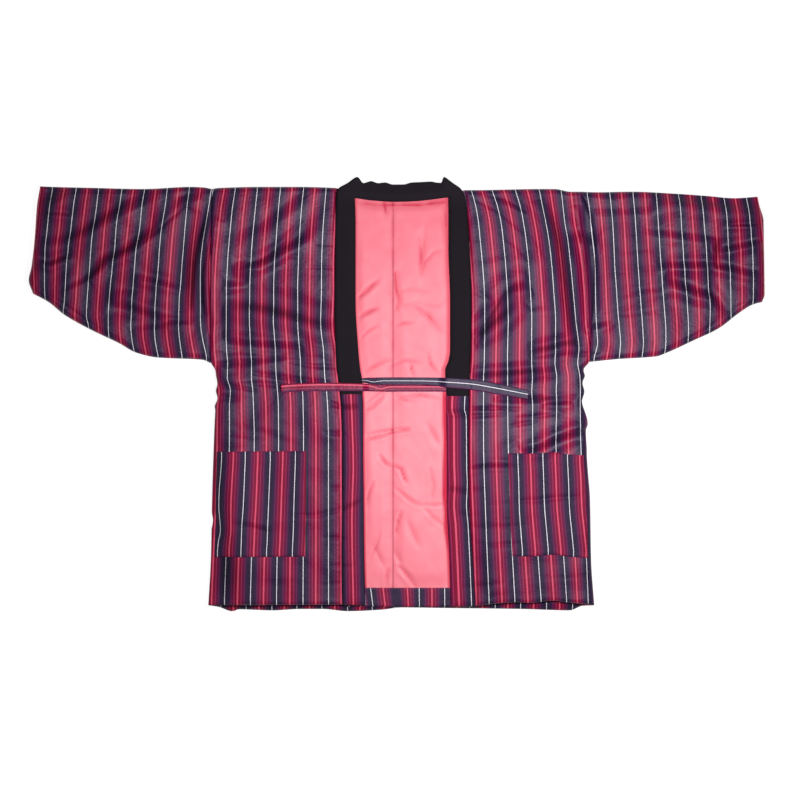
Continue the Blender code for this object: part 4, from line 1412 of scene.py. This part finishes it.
# The lining's two halves, where they show between the bands
def addLining(half):
    title = half["title"]
    gap = lining["gap"] * half["sign"]
    under = places["sheetOverlap"] * half["sign"]
    foot, top = places["turnUpTop"], places["neckline"] - 1
    wide, tall = spacings["lining"]
    x, y = panelPlan(
        stations((0, 1, 2.5, 100), wide) / 100,
        rimmedStations(foot, top, (1,), (), tall),
        lambda y: places["centreSeam"] + gap + 0 * y,
        lambda y: half["bandOuter"](y) - under,
        level(foot),
        level(top),
    )
    seam = np.abs(x - places["centreSeam"])
    toBand = np.abs(half["bandInner"](y)) - np.abs(x)
    swell = smoothStep(seam / 22) * smoothStep(toBand / 16)
    swell = swell * smoothStep((y - foot) / 30) * smoothStep((places["neckline"] - 22 - y) / 40)
    height = lining["puff"] * swell * (0.6 + 0.4 * np.sin(y / 52 + x / 33))
    fine = 0.35 * noise(x / 23, y / 34, 51) + 0.14 * noise(x / 9, y / 14, 52)
    ripple = 0.5 * pucker(seam, y, "liningSeam") + 0.5 * pucker(y - foot, x, "liningHem")
    dents = lining["creases"] * trough(x, y, liningCreases, lining["sharpness"], lining["ridge"])
    fold = 0.25 + smoothStep(toBand / 8) * (height + fine + ripple - dents)
    edgeDip = 1 - 0.7 * np.exp(-((seam / 2.4) ** 2))
    upper = lifted(x, y, layers["liningTop"] + np.maximum(fold, -0.6) * edgeDip)
    lower = lifted(x, y, layers["frontBase"])
    made = addPiece("lining" + title, upper, lower, clothMap(x / stripes["repeat"], y), "lining_satin")
    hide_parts("lining_" + half["side"])
    area = float(np.mean(x.max(axis=1) - x.min(axis=1)) * np.ptp(y)) * mm * mm
    "back" + title
    mark(made, liningShade(half, x, y, seam, toBand, dents))


# The back's own cloth, turned up inside the hem. Its third white line doesn't
# show: the stripes stop short of it and run back from there
turnUp = {"dullness": 1.0, "edge": 0.35, "rim": 2.5, "hiddenLine": 2, "short": 0.1}


def addTurnUp(right, left):
    low, top = places["turnUpLow"], places["turnUpTop"] - layers["gap"]
    overlap = places["sheetOverlap"]
    wide, tall = spacings["turnUp"]
    x, y = panelPlan(
        stations((0, 1), wide),
        rimmedStations(low, top, (1,), (1,), tall),
        lambda y: right["bandOuter"](y) + overlap,
        lambda y: left["bandOuter"](y) - overlap,
        level(low),
        level(top),
    )
    base, least = layers["frontBase"], turnUp["edge"]
    wave = 0.5 * noise(x / 14, y / 30, 61) + 0.3 * noise(x / 7, y / 9, 62)
    toEdge = np.minimum(top - y, y - low)
    rise = layers["sheet"] * (least + (1 - least) * roll(toEdge, turnUp["rim"]))
    rise = rise + np.maximum(wave, -0.4) * smoothStep(toEdge / 5)
    upper = lifted(x, y, base + rise)
    repeats, line = stripesAt(x, y, "turnUp"), turnUp["hiddenLine"]
    aside = line - np.maximum(np.abs(repeats - line), turnUp["short"])
    mapped = clothMap(np.where(repeats > line - 0.4, aside, repeats), y)
    made = addPiece("hemTurnUp", upper, lifted(x, y, base), mapped)
    mark(made, turnUp["dullness"])
    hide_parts("hem_turn_up")
    return upper


# The bands: the striped one at the foot and the dark cover above it. "pace" is
# how fast the stripes pass on either side of a band's pink line
band = {
    "sharpness": 0.7,
    "ridge": 0.12,
    "dullness": 1.6,
    # Marks along its outer edge and in its creases, which make the band duller and darker with painted
    # shade
    "outerDullAndShade": {"right": 1.4, "left": 0.4},
    "outerReach": 5,
    "creaseDullAndShade": 0.9,
    "pace": {"right": (0.97, 0.97), "left": (0.6, 1.0)},
}


def bandHeights(half, x, y, extra=0.0):
    toInner = np.abs(x - half["bandInner"](y))
    toOuter = np.abs(x - half["bandOuter"](y))
    edges = (
        edge(toInner, "bandFold"),
        edge(toOuter, "bandSeam"),
        edge(y - half["bandHem"], "bandHem"),
    )
    topShare, lift = shareAtEdges(edges)
    ripple = 0.35 * np.sin(y / 27 + 0.6) + 0.25 * np.sin(y / 11)
    ripple = ripple + 0.9 * pucker(toOuter, y, "bandOuter") + 0.6 * pucker(toInner, y, "bandInner")
    dents = trough(x, y, paddedCreases, band["sharpness"], band["ridge"])
    ripple = ripple + 0.4 * noise(x / 14, y / 25, 73) - dents
    top = layers["bandBase"] + topShare * (layers["bandPad"] + extra + ripple)
    return top, layers["bandBase"] + layers["bandPad"] * lift


# The pink line of a band by pixels of the photo: y and x
bandStripes = {
    "right": ((394, 350.8), (425, 352.2), (468, 353.3), (495, 352.4), (520, 351.9), (605, 353.4)),
    "left": (
        (394, 452.8), (409, 452.2), (417, 454), (465, 454.4), (484, 455), (505, 454.2),
        (525, 455.8), (605, 459.4),
    ),
}


def bandRepeats(half, x, y):
    rows = np.array(bandStripes[half["side"]], float)
    lineX, lineY = fromPhoto(rows[:, 1], rows[:, 0])
    away = (x - curve(np.column_stack((lineY, lineX)))(y)) / stripes["repeat"]
    before, after = band["pace"][half["side"]]
    return 0.5 + np.where(away < 0, before * away, after * away)


def addBand(half):
    side, title, gap = half["side"], half["title"], half["gap"]
    hem, end = half["bandHem"], half["coverEnd"] - layers["gap"]
    width = places["bandWidth"]
    wide, tall = spacings["band"]
    x, y = panelPlan(
        rimmedStations(0, width, rims["bandFold"], rims["bandSeam"], wide) / width,
        rimmedStations(hem, end, rims["bandHem"], (), tall),
        half["bandInner"],
        lambda y: half["bandOuter"](y) - gap,
        level(hem),
        level(end),
    )
    upper, lower = (lifted(x, y, z) for z in bandHeights(half, x, y))
    mapped = clothMap(bandRepeats(half, x, y), y)
    made = addPiece("band" + title, upper, lower, mapped)
    # Painted shadow along the outer edge, where the front's rolled edge shades the band, and painted shade
    # in the creases, on top of the band's dullness
    atOuter = np.exp(-((np.abs(half["bandOuter"](y) - x) / band["outerReach"]) ** 2))
    dents = trough(x, y, paddedCreases, dullness["sharpness"])
    dullAndShade = band["dullness"] + band["outerDullAndShade"][side] * atOuter
    mark(made, dullAndShade + band["creaseDullAndShade"] * smoothStep(dents / dullness["deep"]))
    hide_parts("band_" + side)


# Where the collar turns and crosses the neck, from the right to the left: inner
# edge x, y, outer edge x, y, and the height under the outer edge
collarTurn = (
    (-76.6, 345, -112.5, 352, 12.8), (-77, 355, -111.5, 368, 12.8),
    (-77.2, 360.5, -108.5, 380, 12.8), (-77, 362.8, -91, 391, 12.8), (-75, 362.8, -73, 402.4, 10.5),
    (-68, 361.8, -62, 391, 6.0), (-55, 359.8, -54, 393, 4.0), (-48, 358.8, -47.5, 394.8, 3.5),
    (-35, 357.8, -34.6, 391, 3.0), (-22, 356.8, -21.6, 392.2, 3.0), (-7, 356.2, -6.8, 388.4, 3.0),
    (14, 356.4, 13.5, 388.6, 3.0), (27, 357, 26.5, 392, 3.0), (44, 358, 45, 393, 3.0),
    (60, 359.8, 63.5, 393.8, 4.0), (70, 361, 75, 391.8, 4.6), (82, 362.7, 82, 391.5, 6.0),
    (91.5, 363.8, 87.5, 402.4, 10.5), (95.2, 364, 104, 391, 12.8), (95.6, 361.5, 119, 380, 12.8),
    (95.6, 355, 125.5, 368, 12.8), (95.8, 343, 128.5, 352, 12.8),
)


# The collar's relief. Its outer half drops to the back where the collar turns
collar = {
    "sharpness": 0.7,
    "ridge": 0.3,
    "dropFrom": 0.34,
    "dropOver": 0.6,
    "riseFrom": 0.3,
    "riseOver": 0.7,
    "riseShare": 0.35,
    "neckMiddle": 6,
    "neckReach": 62,
    "neckBlend": 14,
}


# A half's rows of the collar's straight part, as collarTurn has them
def collarRun(half):
    found = rimmedStations(half["coverEnd"], places["collarTurn"], (3,), (), spacings["collarStraight"])
    base = layers["bandBase"]
    return [(half["bandInner"](y), y, half["bandOuter"](y) - half["gap"], y, base) for y in found]


# Length along a line of points up to each of them
def runAlong(points):
    steps = np.hypot(*np.diff(points, axis=0).T)
    return np.concatenate(((0,), np.cumsum(steps)))


def addCollar(right, left):
    rightRun, leftRun = collarRun(right), collarRun(left)
    turn = np.array(rightRun[-1:] + list(collarTurn) + leftRun[-1:], float)
    place = runAlong((turn[:, :2] + turn[:, 2:4]) / 2)
    wide, tall = spacings["collar"]
    fine = stations(place, tall)
    smooth = np.column_stack([curve(np.column_stack((place, turn[:, k])))(fine) for k in range(5)])
    rows = np.concatenate((np.array(rightRun[:-1]), smooth, np.array(leftRun[-2::-1])))
    width = places["bandWidth"]
    w = rimmedStations(0, width, rims["collarFold"], rims["collarSeam"], wide)[None, :] / width
    inner, outer, outerBase = rows[:, None, 0:2], rows[:, None, 2:4], rows[:, 4:5]
    plan = inner + w[..., None] * (outer - inner)
    x, y, middleX = plan[..., 0], plan[..., 1], rows[:, 0:1]
    span = np.hypot(*(rows[:, 2:4] - rows[:, 0:2]).T)[:, None]
    topShare, lift = shareAtEdges((edge(w * span, "bandFold"), edge((1 - w) * span, "bandSeam")))
    run = runAlong(plan.mean(axis=1))[:, None]
    toNeck = np.abs(middleX - collar["neckMiddle"])
    atNeck = smoothStep((collar["neckReach"] - toNeck) / collar["neckBlend"])
    ripple = 0.35 * np.sin(middleX / 27) + 0.25 * np.sin(middleX / 13)
    ripple = ripple + 0.5 * noise(run / 19, w * 2.2, 81) + 0.22 * noise(run / 8, w * 4, 82)
    ripple = ripple + atNeck * 0.7 * noise(run / 6.5, w * 1.5, 83) * smoothStep(w / 0.3)
    ripple = ripple - trough(x, y, paddedCreases, collar["sharpness"], collar["ridge"])
    full = layers["bandPad"] + layers["cover"] + ripple
    lean = layers["bandBase"] - outerBase
    base = layers["bandBase"] - lean * smoothStep((w - collar["dropFrom"]) / collar["dropOver"])
    rise = collar["riseShare"] * lean * smoothStep((w - collar["riseFrom"]) / collar["riseOver"])
    upper = lifted(x, y, base + topShare * full + rise)
    lower = lifted(x, y, base + layers["bandPad"] * lift)
    made = addPiece("collarCover", upper, lower, clothMap(w, run), "collar_cotton")
    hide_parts("collar")


# Ties from the sewn end to the free one: x, y of the upper and the lower edge.
# "rest" is the underside's height at the sewn end and beyond it, "stripes" the
# repeats at both edges, and "twist" where they shift, how far around and by what
ties = {
    "right": {
        "rows": (
            (-66, 29, 21.5), (-58, 30.4, 21.2), (-45, 31, 18.5), (-12, 31.2, 17.4), (43, 31.2, 17),
            (72, 31, 15.5), (93, 30.5, 12.5), (136, 28, 8.5), (191, 19, -1), (243, 7.5, -9.5),
        ),
        "rest": (15.2, 18.0),
        "stripes": (-0.19, 0.24),
        "twist": (-44, 12, -0.08),
        "slot": "tie_grey",
    },
    "left": {
        "rows": (
            (93, 16.5, 5), (43, 16.6, 5), (-12, 17, 5), (-45, 18.1, 5.5), (-59, 19.7, 6),
            (-133, 21.4, 6), (-179, 20.4, 5), (-214, 18, 3.2),
        ),
        "rest": (15.2, 15.2),
        "stripes": (0.42, 0.76),
        "twist": (-30, 11, -0.12),
        "slot": "tie_red",
    },
}


# How the ties lie: shares across at which they have points, how far before the
# other band they start to climb, and how far to each side they look for cloth
tieLie = {
    "across": (0, 0.03, 0.09, 0.18, 0.34, 0.5, 0.66, 0.82, 0.91, 0.97, 1.0),
    "near": (-7, -3.5, 0, 3.5, 7),
    "climbFrom": 26,
    "smoothing": 9,
}


# Highest point of a front within some millimetres of each place
def frontTops(half, x, y, reach=4.0):
    points = half["frontTop"]
    points = points[(points[:, 1] > y.min() - reach) & (points[:, 1] < y.max() + reach)]
    away = np.hypot(x.reshape(-1, 1) - points[:, 0], y.reshape(-1, 1) - points[:, 1])
    return np.where(away < reach, points[:, 2], 0).max(axis=1).reshape(x.shape)


# Highest cloth under points of a tie
def clothHeight(right, left, x, y):
    found = np.full(np.shape(x), layers["liningTop"] + lining["puff"])
    for half, mine in ((right, x < places["centreSeam"]), (left, x >= places["centreSeam"])):
        inner, outer = np.abs(half["bandInner"](y)), np.abs(half["bandOuter"](y))
        onBand = mine & (np.abs(x) >= inner) & (np.abs(x) <= outer)
        onFront = mine & (np.abs(x) > outer)
        found = np.where(onBand, bandHeights(half, x, y, layers["cover"])[0], found)
        found = np.where(onFront, frontTops(half, x, y), found)
    return found


# Highest cloth near each place along a tie's run, over its whole width
def highestNear(right, left, x, y):
    found = [clothHeight(right, left, x + shift, y).max(axis=1) for shift in tieLie["near"]]
    return np.array(found).max(axis=0)


# A tie starts at its own band, spans the opening and climbs over the other band
def addTie(side, right, left):
    tie = ties[side]
    rows = np.array(tie["rows"], float)
    start, end = rows[0, 0], rows[-1, 0]
    upperEdge, lowerEdge = curve(rows[:, (0, 1)]), curve(rows[:, (0, 2)])
    other = left if side == "right" else right
    length, climb = abs(end - start), abs(other["bandInner"](15) - start)
    run = rimmedStations(0, length, (), (0.6, 2), spacings["tie"], (climb - 18, climb + 24))
    w = np.array(tieLie["across"])
    x = (start + np.sign(end - start) * run)[:, None] + 0 * w
    high, low = upperEdge(x), lowerEdge(x)
    y = high + w * (low - high)

    root, rest = tie["rest"]
    rise = root + (rest - root) * smoothStep((run - 8) / 30)
    over = np.maximum(rise, highestNear(right, left, x, y) + 2 * layers["gap"])
    rise = np.where(run > climb - tieLie["climbFrom"], over, rise)
    window = np.hanning(tieLie["smoothing"])
    padded = np.pad(rise, tieLie["smoothing"] // 2, mode="edge")
    rise = np.maximum(np.convolve(padded, window / window.sum(), "valid"), rise)[:, None]

    run = run[:, None]
    away = np.minimum(w, 1 - w) * np.abs(high - low)
    crown = 0.3 + 0.7 * roll(away, 3.0) * (0.4 + 0.6 * roll(np.minimum(run, length - run), 2.0))
    swell = 0.25 * noise(run / 13, w * 2, 91) * roll(away, 4)
    top = rise + layers["tie"] * (0.5 + 0.5 * crown) + swell
    bottom = rise + layers["tie"] * 0.5 * (1 - crown)
    first, last = tie["stripes"]
    middle, reach, turned = tie["twist"]
    repeats = first + w * (last - first) + turned * np.exp(-(((x - middle) / reach) ** 2))
    upper, lower = lifted(x, y, top), lifted(x, y, bottom)
    made = addPiece("tie" + side.capitalize(), upper, lower, clothMap(repeats, run), tie["slot"])
    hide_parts("tie_" + side)
    wide = float(np.mean(np.abs(high - low)))
    length * mm


halfRight, halfLeft = makeHalf("right"), makeHalf("left")
pocketTops = {}
for half in (halfRight, halfLeft):
    addBack(half)
    addLining(half)
    pocketTops[half["side"]] = addFrontAndPocket(half)
    addSleeve(half)
    addBand(half)
print("panels, sleeves and bands made")
turnUpCloth = addTurnUp(halfRight, halfLeft)
addCollar(halfRight, halfLeft)
for side in ("right", "left"):
    addTie(side, halfRight, halfLeft)
print("collar and ties made")

# Stitches, in millimetres: along the pockets in dark thread, and along the
# lining's foot in pink
stitches = {
    "pitch": 4.4,
    "length": 2.9,
    "thickness": 0.62,
    "unevenness": 0.2,
    "lift": 0.12,
    "pocketHem": 20.0,
    "dark": (74, 16, 44),
    "pink": (236, 96, 124),
}


def threadSurface(name, colour):
    surface = Surface(name, {"Specular IOR Level": 0.3, "Sheen Weight": 0.1})
    twist = surface.noise(surface.objectPlace(), 900.0, 2.0)
    thread = surface.shaded(paint(colour), twist * 0.5 + 0.75)
    return surface.finish(thread, twist * 0.2 + 0.55, twist, 0.3, 0.0002)


def treeNode(tree, kind, settings=None, inputs=None):
    made = tree.nodes.new(kind)
    for key, value in (settings or {}).items():
        setattr(made, key, value)
    for key, value in (inputs or {}).items():
        if isinstance(value, bpy.types.NodeSocket):
            tree.links.new(value, made.inputs[key])
        else:
            made.inputs[key].default_value = value
    return made


# Threads laid end to end along the edges of a mesh
def stitchTree():
    tree = bpy.data.node_groups.new("stitches", "GeometryNodeTree")
    kinds = {"Lines": "Geometry", "Pitch": "Float", "Length": "Float", "Thickness": "Float"}
    kinds.update({"Unevenness": "Float", "Thread": "Material"})
    for name, kind in kinds.items():
        tree.interface.new_socket(name, in_out="INPUT", socket_type="NodeSocket" + kind)
    tree.interface.new_socket("Stitches", in_out="OUTPUT", socket_type="NodeSocketGeometry")
    given = treeNode(tree, "NodeGroupInput").outputs
    line = treeNode(tree, "GeometryNodeMeshToCurve", None, {"Mesh": given["Lines"]})
    pitch = {"Curve": line.outputs[0], "Length": given["Pitch"]}
    spaced = treeNode(tree, "GeometryNodeResampleCurve", {"mode": "LENGTH"}, pitch)
    tangent = treeNode(tree, "GeometryNodeInputTangent")
    vector = {"Vector": tangent.outputs[0]}
    turned = treeNode(tree, "FunctionNodeAlignRotationToVector", {"axis": "Z"}, vector)
    uneven = treeNode(tree, "FunctionNodeRandomValue", {"data_type": "FLOAT"}, {2: -1.0, 3: 1.0, "Seed": 7})
    shares = {0: uneven.outputs[1], 1: given["Unevenness"], 2: 1.0}
    share = treeNode(tree, "ShaderNodeMath", {"operation": "MULTIPLY_ADD"}, shares)
    lengths = {0: share.outputs[0], 1: given["Length"]}
    long = treeNode(tree, "ShaderNodeMath", {"operation": "MULTIPLY"}, lengths)
    sizes = {0: given["Thickness"], 1: given["Thickness"], 2: long.outputs[0]}
    size = treeNode(tree, "ShaderNodeCombineXYZ", None, sizes)
    thread = treeNode(tree, "GeometryNodeMeshUVSphere", None, {"Segments": 6, "Rings": 5, "Radius": 0.5})
    stitch = {"Points": spaced.outputs[0], "Instance": thread.outputs[0]}
    stitch.update({"Rotation": turned.outputs[0], "Scale": size.outputs[0]})
    placed = treeNode(tree, "GeometryNodeInstanceOnPoints", None, stitch)
    real = treeNode(tree, "GeometryNodeRealizeInstances", None, {"Geometry": placed.outputs[0]})
    smooth = treeNode(tree, "GeometryNodeSetShadeSmooth", None, {"Geometry": real.outputs[0]})
    surfaced = {"Geometry": smooth.outputs[0], "Material": given["Thread"]}
    finished = treeNode(tree, "GeometryNodeSetMaterial", None, surfaced)
    treeNode(tree, "NodeGroupOutput", None, {"Stitches": finished.outputs[0]})
    return tree


def addStitches(name, lines, thread):
    points, links = [], []
    for line in lines:
        first = len(points)
        points += [tuple(p) for p in (np.asarray(line) + (0, 0, stitches["lift"])) * mm]
        links += [(k, k + 1) for k in range(first, len(points) - 1)]
    mesh = bpy.data.meshes.new(name + "Lines")
    mesh.from_pydata(points, links, [])
    guide = addObject(name + "Lines", mesh)
    tree = stitchTree()
    modifier = guide.modifiers.new("stitches", "NODES")
    modifier.node_group = tree
    sockets = {item.name: item.identifier for item in tree.interface.items_tree if item.in_out == "INPUT"}
    for key in ("Pitch", "Length", "Thickness"):
        modifier[sockets[key]] = stitches[key.lower()] * mm
    modifier[sockets["Unevenness"]] = stitches["unevenness"]
    modifier[sockets["Thread"]] = thread
    seen = guide.evaluated_get(bpy.context.evaluated_depsgraph_get())
    made = addObject(name, bpy.data.meshes.new_from_object(seen))
    bpy.data.objects.remove(guide)
    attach(made, "root")


# Lines along a pocket's sides, its foot and the turned hem at its mouth
def pocketLines(top):
    high = top[-1, :, 1].mean()
    hemRow = nearest(top[:, 0, 1], high - stitches["pocketHem"])
    return [top[2:, 2], top[2, 2:-2], top[2:, -3], top[hemRow, 2:-2]]


darkThread = threadSurface("darkThread", stitches["dark"])
pinkThread = threadSurface("pinkThread", stitches["pink"])
pocketSeams = pocketLines(pocketTops["right"]) + pocketLines(pocketTops["left"])
addStitches("pocketStitches", pocketSeams, darkThread)
addStitches("liningStitches", [turnUpCloth[-2]], pinkThread)
print("stitches made")

# The camera looks straight down at "aim", and sees "frame" millimetres across
studio = {
    "aim": (6.1, -10.5, 18.0),
    "frame": 1480.0,
    "distance": 9000.0,
    "sensor": 36.0,
    "farthest": 100.0,
    "floor": 0.2,
    "floorHalf": 6.0,
    "floorDrop": 0.0003,
    "glow": 0.95,
    "world": 0.07,
}
white = (1.0, 1.0, 1.0, 1.0)


def addCamera():
    data = bpy.data.cameras.new("camera")
    data.sensor_width = studio["sensor"]
    data.lens = studio["sensor"] * studio["distance"] / studio["frame"]
    data.clip_end = studio["farthest"]
    camera = addObject("camera", data)
    x, y, z = studio["aim"]
    camera.location = (x * mm, y * mm, (z + studio["distance"]) * mm)
    bpy.context.scene.camera = camera


def addLamp():
    data = bpy.data.lights.new("key", "AREA")
    data.shape = "DISK"
    data.size = lamp["size"] * mm
    data.energy = lamp["power"]
    made = addObject("key", data)
    place = np.array(lamp["place"], float) * mm
    made.location = place
    direction = np.array(studio["aim"]) * mm - place
    pitch = math.atan2(math.hypot(direction[0], direction[1]), -direction[2])
    turn = math.atan2(direction[1], direction[0]) - math.pi / 2
    made.rotation_euler = (pitch, 0, turn)


def addFloor():
    side, drop = studio["floorHalf"], -studio["floorDrop"]
    corners = [(x * side, y * side, drop) for x, y in ((-1, -1), (1, -1), (1, 1), (-1, 1))]
    mesh = bpy.data.meshes.new("floor")
    mesh.from_pydata(corners, [], [(0, 1, 2, 3)])
    fixed = {"Roughness": 0.9, "Specular IOR Level": 0.1, "Emission Strength": studio["glow"]}
    surface = Surface("paleFloor", fixed)
    tone = surface.noise(surface.objectPlace(), 1.2) * 0.02 + (studio["floor"] - 0.01)
    surface.plug(surface.shader.inputs["Base Color"], surface.vector(tone, tone, tone))
    surface.shader.inputs["Emission Color"].default_value = white
    mesh.materials.append(surface.material)
    addObject("floor", mesh)


def setWorld():
    world = bpy.data.worlds.new("studio")
    world.use_nodes = True
    background = world.node_tree.nodes["Background"]
    background.inputs["Color"].default_value = white
    background.inputs["Strength"].default_value = studio["world"]
    bpy.context.scene.world = world
    bpy.context.scene.view_settings.view_transform = "Standard"


addCamera()
addLamp()
addFloor()
setWorld()
print("studio made")
